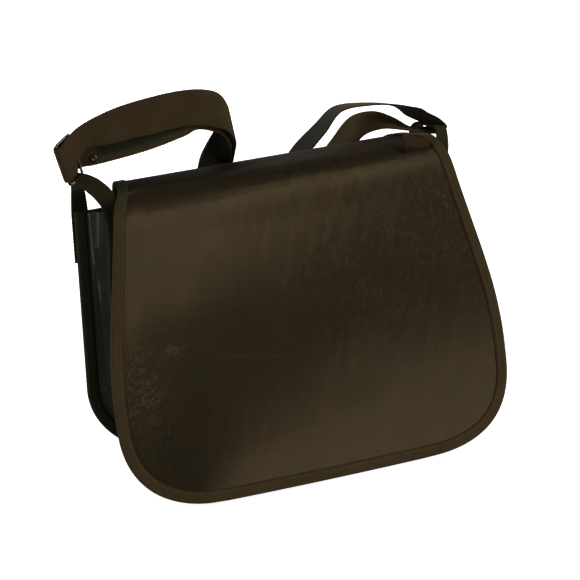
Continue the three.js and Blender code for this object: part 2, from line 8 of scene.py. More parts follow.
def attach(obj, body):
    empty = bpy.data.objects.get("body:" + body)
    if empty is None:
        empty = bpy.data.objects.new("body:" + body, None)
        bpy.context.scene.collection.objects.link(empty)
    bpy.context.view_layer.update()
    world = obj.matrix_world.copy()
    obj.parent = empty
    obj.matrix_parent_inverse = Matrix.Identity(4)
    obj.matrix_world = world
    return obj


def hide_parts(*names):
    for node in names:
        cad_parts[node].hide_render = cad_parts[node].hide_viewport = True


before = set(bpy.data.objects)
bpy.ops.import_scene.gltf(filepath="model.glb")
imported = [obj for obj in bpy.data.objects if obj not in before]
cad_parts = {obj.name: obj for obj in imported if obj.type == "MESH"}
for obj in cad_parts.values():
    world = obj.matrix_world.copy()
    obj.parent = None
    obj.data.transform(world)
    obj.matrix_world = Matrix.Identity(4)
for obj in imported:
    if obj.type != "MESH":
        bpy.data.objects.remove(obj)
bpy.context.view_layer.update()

# The studio: a pale paper floor that runs far behind the bag, under large soft lamps.
# The camera stands to the bag's left and a little above it, with a long lens and a slight roll.
MM = 0.001
WHITE = (1, 1, 1, 1)
SHARP_EDGE = radians(50)
FLOOR_HALF = 14.0
FLOOR_DROP = 0.0004
FLOOR_GLOW = 0.85
CAMERA_TURN = radians(25.5)
CAMERA_RISE = radians(14.5)
CAMERA_ROLL = radians(-4.3)
CAMERA_FAR = 3.0
CAMERA_LENS = 186.2
CAMERA_SENSOR = 36.0
CAMERA_TARGET = Vector((0, 0, 155)) * MM
CAMERA_OFFSET = Vector((5.4, 25.8, 0)) * MM
SKY_LIGHT = 0.06
MIDDLE = (0, 0, 0.155)
# Each lamp: place, aim, size, watts, turn in degrees, and whether matt and glossy surfaces take its light.
LAMPS = {
    "key_right": ((2.55, -1.6, 0.95), MIDDLE, (1.3, 1.3), 66, 0, True, True),
    "front_fill": ((-0.6, -3.0, 0.5), MIDDLE, (1.0, 0.8), 8, 0, True, True),
    "left_fill": ((-2.0, -0.8, 0.36), MIDDLE, (1.2, 0.9), 14, 0, True, True),
    "back_fill": ((-0.4, 2.2, 2.4), MIDDLE, (1.6, 1.2), 50, 0, True, True),
    "rear_fill": ((0.4, 3.2, 0.5), MIDDLE, (1.6, 0.8), 60, 0, True, False),
    "low_fill": ((-1.0, -0.2, 0.02), (0, 0, 0.06), (0.8, 0.5), 3.2, 0, True, False),
    "upper_glow": ((0.65, -2.0, 0.61), MIDDLE, (1.3, 0.3), 1.8, 30, False, True),
    "table_glow": ((1.9, -2.0, 0.001), (1.9, -2.001, 1), (1.6, 5.3), 27, -30, False, True),
}


def srgb(red, green, blue):
    """A screen colour from 0 to 255, as linear light: the standard curve with its straight foot."""
    shown = np.array([red, green, blue]) / 255
    linear = np.where(shown <= 0.04045, shown / 12.92, ((shown + 0.055) / 1.055) ** 2.4)
    return (*linear.tolist(), 1.0)


def node(tree, kind, inputs=None, **settings):
    """A shader node with its settings; an input that is given as another node's output is linked to it."""
    made = tree.nodes.new("ShaderNode" + kind)
    for name, value in settings.items():
        setattr(made, name, value)
    for name, value in (inputs or {}).items():
        if isinstance(value, bpy.types.NodeSocket):
            tree.links.new(value, made.inputs[name])
        else:
            made.inputs[name].default_value = value
    return made


def new_finish(name, **constants):
    """A material with the shader's constant values set by name, its node tree, its shader, and the output of
    the piece's own coordinates in metres."""
    material = bpy.data.materials.new(name)
    material.use_nodes = True
    tree = material.node_tree
    shader = tree.nodes["Principled BSDF"]
    for socket, value in constants.items():
        shader.inputs[socket.replace("_", " ")].default_value = value
    return material, tree, shader, node(tree, "TexCoord").outputs["Object"]


def wire(tree, shader, **values):
    """Other nodes' values linked to the shader's sockets by name."""
    for socket, value in values.items():
        tree.links.new(value, shader.inputs[socket.replace("_", " ")])


def noise(tree, place, scale, detail, roughness=0.5):
    """Fractal noise from 0 to 1, with so many cells to the metre."""
    inputs = {"Vector": place, "Scale": scale, "Detail": detail, "Roughness": roughness}
    return node(tree, "TexNoise", inputs).outputs["Fac"]


def ramp(tree, value, *stops):
    """Colours along a value from 0 to 1, each stop being its place and its colour."""
    made = node(tree, "ValToRGB", {"Fac": value})
    points = made.color_ramp.elements
    points.remove(points[1])
    points[0].position, points[0].color = stops[0]
    for place, colour in stops[1:]:
        points.new(place).color = colour
    return made.outputs["Color"]


def make_piece(name, points, faces, cloth=None):
    """A smooth mesh of four-cornered faces from points in millimetres; cloth gives every face corner's place
    on the flat cloth, in millimetres across and along, as the UV map."""
    mesh = bpy.data.meshes.new(name)
    mesh.vertices.add(len(points))
    mesh.vertices.foreach_set("co", (points * MM).astype(np.float32).ravel())
    mesh.loops.add(faces.size)
    mesh.loops.foreach_set("vertex_index", faces.astype(np.int32).ravel())
    mesh.polygons.add(len(faces))
    mesh.polygons.foreach_set("loop_start", np.arange(0, faces.size, 4, dtype=np.int32))
    mesh.polygons.foreach_set("use_smooth", np.ones(len(faces), dtype=bool))
    if cloth is not None:
        layer = mesh.uv_layers.new(name="cloth")
        layer.uv.foreach_set("vector", cloth.astype(np.float32).ravel())
    mesh.update(calc_edges=True)
    mesh.validate()
    mesh.set_sharp_from_angle(angle=SHARP_EDGE)
    piece = bpy.data.objects.new(name, mesh)
    bpy.context.scene.collection.objects.link(piece)
    return piece


floor_corners = np.array([[-1, -1, 0], [1, -1, 0], [1, 1, 0], [-1, 1, 0]]) * FLOOR_HALF / MM
floor_corners[:, 2] = -FLOOR_DROP / MM
floor = make_piece("floor", floor_corners, np.array([[0, 1, 2, 3]]))
glow = {"Emission_Color": WHITE, "Emission_Strength": FLOOR_GLOW}
paper, tree, shader, place = new_finish("floor_paper", Roughness=0.9, Specular_IOR_Level=0.1, **glow)
pulp = noise(tree, place, 3.0, 2.0)
wire(tree, shader, Base_Color=ramp(tree, pulp, (0.3, srgb(240, 239, 237)), (0.7, srgb(245, 244, 242))))
floor.data.materials.append(paper)
floor.visible_diffuse = False
floor.visible_glossy = False

for name, (place, aim, size, watts, turn, matt, shine) in LAMPS.items():
    light = bpy.data.lights.new(name, "AREA")
    light.shape = "RECTANGLE"
    light.size, light.size_y = size
    light.energy = watts
    holder = bpy.data.objects.new(name, light)
    holder.location = place
    holder.rotation_mode = "QUATERNION"
    aimed = (Vector(aim) - holder.location).to_track_quat("-Z", "Y")
    holder.rotation_quaternion = aimed @ Quaternion((0, 0, 1), radians(turn))
    holder.visible_camera = False
    holder.visible_diffuse = matt
    holder.visible_glossy = shine
    bpy.context.scene.collection.objects.link(holder)

world = bpy.data.worlds.new("studio")
world.use_nodes = True
sky = world.node_tree.nodes["Background"]
sky.inputs["Color"].default_value = WHITE
sky.inputs["Strength"].default_value = SKY_LIGHT
bpy.context.scene.world = world
bpy.context.scene.view_settings.view_transform = "Standard"

back = Vector((-sin(CAMERA_TURN) * cos(CAMERA_RISE), -cos(CAMERA_TURN) * cos(CAMERA_RISE), sin(CAMERA_RISE)))
camera = bpy.data.objects.new("camera", bpy.data.cameras.new("camera"))
camera.location = CAMERA_TARGET + back * CAMERA_FAR
camera.data.lens = CAMERA_LENS
camera.data.sensor_width = CAMERA_SENSOR
camera.rotation_mode = "QUATERNION"
roll = Quaternion((0, 0, 1), CAMERA_ROLL)
level_look = (-back).to_track_quat("-Z", "Y") @ roll
looked_at = CAMERA_TARGET + level_look @ CAMERA_OFFSET
camera.rotation_quaternion = (looked_at - camera.location).to_track_quat("-Z", "Y") @ roll
bpy.context.scene.collection.objects.link(camera)
bpy.context.scene.camera = camera


# The back and front panels: two flat cuts of dark brown leather, 2 mm thick, with elliptical lower corners.
# They lean towards each other, and each is sewn to the gusset all round but for its straight upper edge.
LEATHER = 2.0
BODY_HALF = 195.5
BODY_BOTTOM = 19.5
BODY_CORNER_WIDE = 119.0
BODY_CORNER_HIGH = 84.0
SIDE_FROM = BODY_BOTTOM + BODY_CORNER_HIGH
BACK_TOP = 286.0
BACK_FOOT = 59.0
BACK_LEAN = 0.046
FRONT_TOP = 284.0
FRONT_FOOT = 58.0
FRONT_LEAN = 0.14
FRONT_EASE = 7.0
FRONT_EASE_FROM = 215.0
RIM_POINTS = 200
PANEL_COLUMNS = 110
PANEL_STEP = 2.6
PANEL_SWELL = 1.3
PANEL_FULL = 0.6
PANEL_WAVES = [(1.0, 95, 80, 4, 7, 11), (0.4, 34, 30, 0, 0, 12)]
SLACK_FROM_SEAM = (8, 50)
SLACK_FROM_BOTTOM = (30, 80)
SLACK_UNDER_HEM = (190, 255)
LEATHER_DEEP = srgb(33, 30, 21)
LEATHER_WORN = srgb(44, 35, 23)
LEATHER_FLESH = srgb(74, 62, 46)
BROWN_GLOSS = (1.0, 0.72, 0.36, 1.0)
PANEL_ROUGH = 0.42
FLESH_ROUGH = 0.9
ROLLED_ROUGH = 0.14
CRACKLE_ROUGH = 0.05
MOTTLE_CELLS = 22.0
GRAIN_CELLS = 460.0
PORE_CELLS = 1500.0
NET_CELLS = 200.0
VEIN_CELLS = 290.0
VEIN_STRETCH = (1.0, 1.0, 0.2)
LINE_PATCHES = 140.0
LINE_WANDER = 90.0
WANDER_REACH = (0.009, 0.009, 0.006)
LINE_PALE = 1.9


def spread(tree, value, low, high, to_low, to_high):
    """A value's range from low to high carried over to another range, and held at its ends."""
    inputs = {"Value": value, "From Min": low, "From Max": high, "To Min": to_low, "To Max": to_high}
    return node(tree, "MapRange", inputs).outputs["Result"]


def maths(tree, operation, *values):
    """One step of arithmetic on numbers and other nodes' values."""
    return node(tree, "Math", dict(enumerate(values)), operation=operation).outputs[0]


def mix_values(tree, share, first, second):
    """A number between two, by a share from 0 to 1."""
    return node(tree, "Mix", {0: share, 2: first, 3: second}, data_type="FLOAT").outputs[0]


def mix_colours(tree, share, first, second, way="MIX"):
    """A colour between two by a share from 0 to 1, or their product."""
    return node(tree, "Mix", {0: share, 6: first, 7: second}, data_type="RGBA", blend_type=way).outputs[2]


def marked(tree, name):
    """The value that a piece carries at its points under a name, and 0 where it has none."""
    return node(tree, "Attribute", attribute_name=name).outputs["Fac"]


def bump(tree, height, strength, deep, **under):
    """The surface turned as a height so many metres deep would turn it, over another such normal if given."""
    inputs = {"Height": height, "Strength": strength, "Distance": deep, **under}
    return node(tree, "Bump", inputs).outputs[0]


def cracks(tree, place, cells, width):
    """Lines between random cells, so many to the metre: 1 on a line, falling to 0 at a share of a cell."""
    edge = node(tree, "TexVoronoi", {"Vector": place, "Scale": cells}, feature="DISTANCE_TO_EDGE")
    return spread(tree, edge.outputs["Distance"], 0.0, width, 1.0, 0.0)


def leather_finish(name, deep, worn, flesh, roughness, tint):
    """Glazed leather: fine pores, and a mottle from deep to worn. Marks on a piece bring pale raised lines:
    crackle a net of small cells, creased long upright veins, scored single scratches. Rolled dulls the gloss,
    and flesh is the matt nap of the other side."""
    material, tree, shader, place = new_finish(name, Specular_IOR_Level=0.5, Specular_Tint=tint)
    marks = ("crackle", "creased", "scored", "rolled", "flesh")
    crackle, creased, scored, rolled, side = (marked(tree, each) for each in marks)
    mottle = noise(tree, place, MOTTLE_CELLS, 6.0, 0.6)
    patches = noise(tree, place, LINE_PATCHES, 2.0)
    wander = node(tree, "TexNoise", {"Vector": place, "Scale": LINE_WANDER, "Detail": 3.0}).outputs["Color"]
    moved = {0: wander, 1: WANDER_REACH, 2: place}
    bent = node(tree, "VectorMath", moved, operation="MULTIPLY_ADD").outputs[0]
    upright = node(tree, "Mapping", {"Vector": bent, "Scale": VEIN_STRETCH}).outputs[0]
    worked = maths(tree, "MULTIPLY", spread(tree, patches, 0.38, 0.62, 0.15, 0.95), crackle)
    broken = maths(tree, "MULTIPLY", spread(tree, patches, 0.42, 0.6, 0.0, 0.65), creased)
    net = maths(tree, "MULTIPLY", cracks(tree, bent, NET_CELLS, 0.13), worked)
    veins = maths(tree, "MULTIPLY", cracks(tree, upright, VEIN_CELLS, 0.06), broken)
    lines = maths(tree, "MAXIMUM", maths(tree, "MAXIMUM", net, veins), scored)
    pale = tuple(LINE_PALE * part for part in worn[:3]) + (1,)
    lined = mix_colours(tree, lines, ramp(tree, mottle, (0.34, deep), (0.66, worn)), pale)
    colour = mix_colours(tree, side, lined, flesh)
    shine = spread(tree, mottle, 0.3, 0.7, roughness + 0.04, roughness - 0.03)
    shine = maths(tree, "MULTIPLY_ADD", crackle, CRACKLE_ROUGH, shine)
    shine = maths(tree, "MULTIPLY_ADD", rolled, ROLLED_ROUGH, shine)
    shine = mix_values(tree, side, shine, FLESH_ROUGH)
    grain = bump(tree, noise(tree, place, GRAIN_CELLS, 3.0, 0.6), 0.2, 0.0003)
    pores = bump(tree, noise(tree, place, PORE_CELLS, 2.0), 0.12, 0.0002, Normal=grain)
    raised = bump(tree, maths(tree, "MULTIPLY_ADD", net, 2.0, lines), 0.2, 0.0002, Normal=pores)
    wire(tree, shader, Base_Color=colour, Roughness=shine, Normal=raised)
    return material


def smooth_step(value, low, high):
    """From 0 at low to 1 at high, level at both ends: three squares less two cubes."""
    share = np.clip((value - low) / (high - low), 0, 1)
    return share * share * (3 - 2 * share)


def soft_noise(across, along, seed):
    """Value noise from -1 to 1: random heights on a unit lattice, blended with the smooth step."""
    size = 128
    heights = np.random.default_rng(seed).uniform(-1, 1, (size, size))
    i, j = np.floor(across).astype(int), np.floor(along).astype(int)
    s, t = smooth_step(across - i, 0, 1), smooth_step(along - j, 0, 1)
    near = heights[i % size, j % size] * (1 - s) + heights[(i + 1) % size, j % size] * s
    far = heights[i % size, (j + 1) % size] * (1 - s) + heights[(i + 1) % size, (j + 1) % size] * s
    return near * (1 - t) + far * t


def waves(across, along, rows):
    """Soft noises added up: each row is a wave's height, its lengths across and along, how many lengths it is
    moved each way, and its seed."""
    return sum(
        height * soft_noise(across / wide + shift, along / long + drop, seed)
        for height, wide, long, shift, drop, seed in rows
    )


def ease_in(z):
    """How far the front's upper corners are drawn in at a height."""
    return FRONT_EASE * smooth_step(z, FRONT_EASE_FROM, FRONT_TOP)


def back_plane(z):
    """The back panel's depth: it leans forwards as it rises."""
    return BACK_FOOT - BACK_LEAN * z


def front_plane(z):
    """The front panel's depth: it leans backwards as it rises."""
    return FRONT_LEAN * z - FRONT_FOOT


def lengths_along(line):
    """The summed length at each point of a line, from 0 at its first."""
    return np.concatenate([[0], np.cumsum(np.linalg.norm(np.diff(line, axis=0), axis=1))])


def evenly(line, step):
    """The same line with its points an equal step apart, found along its summed length."""
    lengths = lengths_along(line)
    at = np.linspace(0, lengths[-1], max(round(lengths[-1] / step), 2) + 1)
    return np.stack([np.interp(at, lengths, column) for column in line.T], axis=1)


def joined(*parts):
    """Arrays or numbers spread to one shape and set side by side along a new last axis."""
    return np.stack(np.broadcast_arrays(*parts), axis=-1)


def half_rim(top, eased, step):
    """The body's left rim as x and z: straight down, then a quarter ellipse to the flat of the bottom."""
    side = np.linspace(top, SIDE_FROM, RIM_POINTS)
    turn = np.linspace(0, pi / 2, RIM_POINTS)[1:]
    x = np.concatenate([eased * ease_in(side), BODY_CORNER_WIDE * (1 - np.cos(turn))]) - BODY_HALF
    z = np.concatenate([side, SIDE_FROM - BODY_CORNER_HIGH * np.sin(turn)])
    return evenly(joined(x, z), step)


def unit(vectors):
    """Directions of length one."""
    return vectors / np.linalg.norm(vectors, axis=-1, keepdims=True)


def mark(piece, name, values):
    """A value at each point of a piece, for its finish to read."""
    layer = piece.data.attributes.new(name, "FLOAT", "POINT")
    layer.data.foreach_set("value", np.asarray(values, np.float32).ravel())


def shell(name, upper, under):
    """A closed wall between two grids of points, joined round their rims; upper is the face that across x
    along points out of. The mark flesh is 0 on the upper face and 1 on the other."""
    rows, columns = upper.shape[:2]
    points = np.concatenate([upper.reshape(-1, 3), under.reshape(-1, 3)])
    index = np.arange(rows * columns).reshape(rows, columns)
    top = joined(index[:-1, :-1], index[:-1, 1:], index[1:, 1:], index[1:, :-1]).reshape(-1, 4)
    rim = np.concatenate([index[0], index[1:, -1], index[-1, -2::-1], index[-2:0:-1, 0]])
    after = np.roll(rim, -1)
    low = rows * columns
    wall = joined(after, rim, rim + low, after + low)
    faces = np.concatenate([top, top[:, ::-1] + low, wall])
    piece = make_piece(name, points, faces)
    mark(piece, "flesh", np.repeat([0.0, 1.0], low))
    return piece


def leather_wall(name, middle, thickness, outward):
    """Leather round a grid of middle points, moved half its thickness along the grid's normal to each side.
    Outward is 1 where across x along points to the grain side, and -1 where it points to the flesh side."""
    normal = unit(np.cross(np.gradient(middle, axis=1), np.gradient(middle, axis=0)))
    upper = middle + normal * thickness / 2
    under = middle - normal * thickness / 2
    if outward > 0:
        return shell(name, upper, under)
    return shell(name, under[:, ::-1], upper[:, ::-1])


def dress(piece, material, *nodes, slot):
    """The piece takes its finish, rides on the bag, and stands for its solids."""
    piece.data.materials.append(material)
    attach(piece, "root")
    if nodes:
        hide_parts(*nodes)


def body_panel(plane, top, eased, swell):
    """A panel's middle: each rim point carried straight across to the right rim, in the leaning plane, with a
    slack swell that dies out at the seam and under the flap's hem."""
    rim = half_rim(top, eased, PANEL_STEP)
    x = rim[:, :1] * np.linspace(1, -1, PANEL_COLUMNS + 1)
    z = np.repeat(rim[:, 1:], PANEL_COLUMNS + 1, axis=1)
    slack = smooth_step(np.abs(rim[:, :1]) - np.abs(x), *SLACK_FROM_SEAM) * smooth_step(z, *SLACK_FROM_BOTTOM)
    slack = slack * (1 - smooth_step(z, *SLACK_UNDER_HEM))
    return joined(x, plane(z) + swell * slack * (PANEL_FULL + waves(x, z, PANEL_WAVES)), z)


panel_leather = leather_finish(
    "panel_leather", LEATHER_DEEP, LEATHER_WORN, LEATHER_FLESH, PANEL_ROUGH, BROWN_GLOSS
)
panels = {
    "back": (back_plane, BACK_TOP, 0, 1, (0.391, 0.267)),
    "front": (front_plane, FRONT_TOP, 1, -1, (0.391, 0.269)),
}
for name, (plane, top, eased, outward, flat) in panels.items():
    middle = body_panel(plane, top, eased, PANEL_SWELL * outward)
    panel = leather_wall(name + "_leather", middle, LEATHER, outward)
    dress(panel, panel_leather, name + "_panel", slot="leather")


# The gusset: one long strip of thin black-brown leather round the sides and bottom, between the two seams.
# Its edges are turned out into the seams, its bottom bulges to the ground, and its sides have one soft pleat.
GUSSET_LEATHER = 1.6
CLEAR = 0.3
SEAM_HEIGHT = 11.0
FLANGE = 10.0
GUSSET_STEP = 2.5
GUSSET_COLUMNS = 56
FLANGE_COLUMNS = 5
GUSSET_RISE = 9.0
BULGE_FROM = 0.45
PLEAT = 5.0
PLEAT_FROM = 190.0
LOW_PLEAT = 1.2
LOW_PLEAT_FROM = 95.0
# From the back seam to the front one: the share of the depth, of the bulge and of the pleat.
GUSSET_PLEAT = [
    (0, 0, 0),
    (0.06, 0, 0),
    (0.12, 0.6, -0.5),
    (0.24, 1, -0.2),
    (0.3, 1, 1),
    (0.36, 1, -0.3),
    (0.56, 1, -0.6),
    (0.76, 1, -0.3),
    (0.88, 0.6, 0),
    (0.94, 0, 0),
    (1, 0, 0),
]
GUSSET_WAVES = [(0.9, 46, 1 / 3, 0, 5, 21), (0.5, 17, 1 / 6, 0, 0, 22)]
SLACK_FROM_BACK = (0.03, 0.12)
SLACK_TO_FRONT = (0.88, 0.97)
TIGHT_LOW = (0.3, 0.9)
DENT = 3.2
DENT_AT = 106.0
DENT_HALF = 4.5
DENT_FROM = (0.08, 0.2)
DENT_TO = (0.3, 0.5)
GUSSET_DEEP = srgb(20, 23, 19)
GUSSET_WORN = srgb(32, 34, 29)
BLACK_GLOSS = (0.9, 1.0, 0.86, 1.0)
GUSSET_ROUGH = 0.44


def smooth_line(rows, at, closed=False):
    """A smooth line through rows at shares of the way from 0 to 1, an equal share for each row: on each span
    a cubic whose end slopes weigh the neighbouring spans by the square roots of their lengths."""
    rows = np.asarray(rows, float)
    if closed:
        knots = np.concatenate([rows[-1:], rows, rows[:2]])
    else:
        knots = np.concatenate([2 * rows[:1] - rows[1:2], rows, 2 * rows[-1:] - rows[-2:-1]])
    spans = len(knots) - 3
    pace = np.linalg.norm(np.diff(knots, axis=0), axis=1)[:, None] ** 0.5
    where = np.asarray(at) * spans
    k = np.clip(np.floor(where).astype(int), 0, spans - 1)
    t = (where - k)[:, None]
    before, first, second, after = (knots[k + n] for n in range(4))
    d1 = np.where(pace[k + 1] < 1e-4, 1, pace[k + 1])
    d0, d2 = (np.where(pace[n] < 1e-4, d1, pace[n]) for n in (k, k + 2))
    leave = ((first - before) / d0 - (second - before) / (d0 + d1) + (second - first) / d1) * d1
    reach = ((second - first) / d1 - (after - first) / (d1 + d2) + (after - second) / d2) * d1
    bend = 3 * (second - first) - 2 * leave - reach
    twist = 2 * (first - second) + leave + reach
    return first + t * (leave + t * (bend + t * twist))


def whole_rim(top, eased, step):
    """The body's rim from its left top round to its right top: the left half, the flat, the half mirrored."""
    half = half_rim(top, eased, step)
    flat = np.array([[-half[-1, 0], half[-1, 1]]])
    return evenly(np.concatenate([half, flat, half[-2::-1] * [-1, 1]]), step)


def outwards(rim):
    """The direction square to a rim, away from the body, as x and z."""
    along = np.gradient(rim, axis=0)
    return unit(joined(along[:, 1], -along[:, 0]))


def bell(value, half):
    """A bell curve, 1 at 0: the exponential of less the square of the value over its half width."""
    return np.exp(-((value / half) ** 2))


gusset_rim = whole_rim(FRONT_TOP, 0, GUSSET_STEP)
gusset_out = outwards(gusset_rim)
section = smooth_line(GUSSET_PLEAT, np.linspace(0, 1, 400))
flange = np.linspace(FLANGE, 0, FLANGE_COLUMNS, endpoint=False)
span = np.linspace(0, 1, GUSSET_COLUMNS + 1)
depth = np.concatenate([np.zeros(FLANGE_COLUMNS), span, np.ones(FLANGE_COLUMNS)])
stand = np.concatenate([flange, np.zeros(GUSSET_COLUMNS + 1), flange[::-1]])
bulge_share = np.clip(np.interp(depth, section[:, 0], section[:, 1]), 0, 1)
pleat_share = np.interp(depth, section[:, 0], section[:, 2])
rim_x, rim_z = gusset_rim[:, :1], gusset_rim[:, 1:]
lowness = 1 - np.clip((rim_z - BODY_BOTTOM) / BODY_CORNER_HIGH, 0, 1)
highness = np.clip((rim_z - SIDE_FROM) / (FRONT_TOP - SIDE_FROM), 0, 1)
bulge = (BODY_BOTTOM + SEAM_HEIGHT - GUSSET_LEATHER / 2) * smooth_step(lowness, BULGE_FROM, 1)
pleat = PLEAT * smooth_step(rim_z, PLEAT_FROM, FRONT_TOP)
pleat = pleat + LOW_PLEAT * smooth_step(rim_z, LOW_PLEAT_FROM, PLEAT_FROM)
free = (stand == 0) * smooth_step(depth, *SLACK_FROM_BACK) * (1 - smooth_step(depth, *SLACK_TO_FRONT))
free = free * (1 - smooth_step(lowness, *TIGHT_LOW))
slack = waves(np.arange(len(rim_x))[:, None] * GUSSET_STEP, depth, GUSSET_WAVES)
dent_share = smooth_step(depth, *DENT_FROM) * (1 - smooth_step(depth, *DENT_TO))
dent = DENT * bell(rim_z - DENT_AT, DENT_HALF) * dent_share
reach = stand - SEAM_HEIGHT + bulge_share * bulge + pleat_share * pleat + free * (slack - dent)
gusset_z = rim_z + gusset_out[:, 1:] * reach + GUSSET_RISE * depth * highness
inset = LEATHER / 2 + CLEAR + GUSSET_LEATHER / 2
gusset_y = (back_plane(gusset_z) - inset) * (1 - depth) + (front_plane(gusset_z) + inset) * depth
drawn_in = ease_in(rim_z) * smooth_step(depth, 0, 0.9)
gusset_x = rim_x + gusset_out[:, :1] * (reach - drawn_in)
gusset_middle = joined(gusset_x, gusset_y, gusset_z)
gusset = leather_wall("gusset_strip", gusset_middle, GUSSET_LEATHER, -1)
gusset_leather = leather_finish(
    "gusset_leather", GUSSET_DEEP, GUSSET_WORN, LEATHER_FLESH, GUSSET_ROUGH, BLACK_GLOSS
)
dress(gusset, gusset_leather, "gusset", slot="gusset_leather")


# The seam tapes: woven tape folded over each panel's edge and the gusset's turned edge, and sewn through.
# They run from one upper end round the bottom to the other, with a row of pale thread near the inner edge.
TAPE = 1.2
TAPE_GAP = 0.08
TAPE_REACH = 11.0
TAPE_INNER_REACH = 9.4
TAPE_STEP = 1.6
TAPE_EDGE_THINNED = 0.6
TAPE_EDGE_SHARE = 0.16
STITCH_PITCH = 5.0
STITCH_LONG = 2.6
STITCH_THICK = 0.6
STITCH_IN = 3.0
STITCH_ENDS = 3
PUCKER = 0.18
PUCKER_HALF = 1.6
TWILL_SLANT = radians(38)
WAVE_EACH_UNIT = 0.314
TAPE_DEEP = srgb(50, 40, 24)
TAPE_LIT = srgb(72, 58, 36)
COTTON_GLOSS = (1.0, 0.75, 0.45, 1.0)
# Painted shade on the cloth: how far a full mark darkens it, and the cool shadow colour it is tinted towards.
PAINTED_SHADE_DARK = 0.8
PAINTED_SHADE_TINT = (0.55, 1.3, 2.1, 1.0)
# Painted shade over the whole of each seam tape.
SEAM_PAINTED_SHADE = 0.7
THREAD = srgb(100, 84, 55)
THREAD_DULL = 0.45


def folded_tape(low, high, low_reach, high_reach):
    """A folded tape's closed profile, anticlockwise: the outside from the low leg round the fold to the high
    leg, then the inside back. The slot runs from low to high. The fold is half an ellipse, and the edges of
    the legs are eased."""
    turn = np.linspace(-pi / 2, pi / 2, 9)
    leg = np.linspace(0, 1, 8)[:-1]
    eased = TAPE * (1 - TAPE_EDGE_THINNED * (1 - smooth_step(leg, 0, TAPE_EDGE_SHARE)))
    middle, half = (low + high) / 2, (high - low) / 2
    outer = [
        joined(-low_reach * (1 - leg), low - eased),
        joined((CLEAR + TAPE) * np.cos(turn), middle + (half + TAPE) * np.sin(turn)),
        joined(-high_reach * (1 - leg), high + eased)[::-1],
    ]
    inner = [
        joined(-high_reach * (1 - leg), high),
        joined(CLEAR * np.cos(turn), middle + half * np.sin(turn))[::-1],
        joined(-low_reach * (1 - leg), low)[::-1],
    ]
    return np.concatenate(outer + inner)


def puckered(profile, run, low_row, high_row):
    """The profile at each step of the path, drawn in a little at every stitch along the rows of thread."""
    draw = PUCKER * (0.5 + 0.5 * np.cos(2 * pi * run / STITCH_PITCH))[:, None]
    s, f = profile.T
    near = bell(s - np.where(f > f.mean(), high_row, low_row), PUCKER_HALF)
    sink = -np.sign(f - f.mean()) * near * draw
    sink[:, len(s) // 2 :] = 0
    return joined(s[None], f[None] + sink)


def swept(name, place, side, face, profile, closed=False):
    """A closed profile carried along a path: each point is the place, plus the side direction times the
    profile's first measure, plus the face direction times its second. Open ends are closed between facing
    points."""
    points = place[:, None] + profile[..., :1] * side[:, None] + profile[..., 1:] * face[:, None]
    count, size = points.shape[:2]
    index = np.arange(count * size).reshape(count, size)
    nearer = index if closed else index[:-1]
    farther = np.roll(index, -1, axis=0) if closed else index[1:]
    following = np.roll(nearer, -1, axis=1), np.roll(farther, -1, axis=1)
    faces = joined(nearer, following[0], following[1], farther).reshape(-1, 4)
    run = lengths_along(np.concatenate([place, place[:1]]))[: len(nearer) + 1]
    ring = np.broadcast_to(profile, (count, size, 2)).mean(axis=0)
    around = lengths_along(np.concatenate([ring, ring[:1]]))
    across = joined(around[:-1], around[1:], around[1:], around[:-1])
    along = joined(run[:-1], run[:-1], run[1:], run[1:])
    cloth = joined(across[None], along[:, None]).reshape(-1, 4, 2)
    if not closed:
        k = np.arange(size // 2 - 1)
        cap = joined(k, size - 1 - k, size - 2 - k, k + 1)
        faces = np.concatenate([faces, cap, cap[:, ::-1] + index[-1, 0]])
        cloth = np.concatenate([cloth, np.zeros((2 * len(cap), 4, 2))])
    return make_piece(name, points.reshape(-1, 3), faces, cloth)


def stitches(name, place, along, out):
    """A row of thread: each stitch is a short six-sided tube along the seam, arched in the middle and thinned
    and sunk at its ends."""
    share = np.linspace(-1, 1, 5)
    around = np.arange(6) * pi / 3
    thick = STITCH_THICK / 2 * (1 - 0.55 * share**2)
    arch = STITCH_THICK * (0.35 - 0.7 * share**2)
    across = np.cross(out, along)
    spine = along[:, None] * (share * STITCH_LONG / 2)[:, None] + out[:, None] * arch[:, None]
    ring = across[:, None, None] * np.cos(around)[:, None] + out[:, None, None] * np.sin(around)[:, None]
    points = place[:, None, None] + spine[:, :, None] + ring * thick[:, None, None]
    index = np.arange(points.size // 3).reshape(points.shape[:3])
    near, far = index[:, :-1], index[:, 1:]
    body = joined(near, np.roll(near, -1, 2), np.roll(far, -1, 2), far).reshape(-1, 4)
    first, last = index[:, 0], index[:, -1]
    caps = [first[:, [0, 3, 2, 1]], first[:, [0, 5, 4, 3]], last[:, [0, 1, 2, 3]], last[:, [0, 3, 4, 5]]]
    return make_piece(name, points.reshape(-1, 3), np.concatenate([body, *caps]))


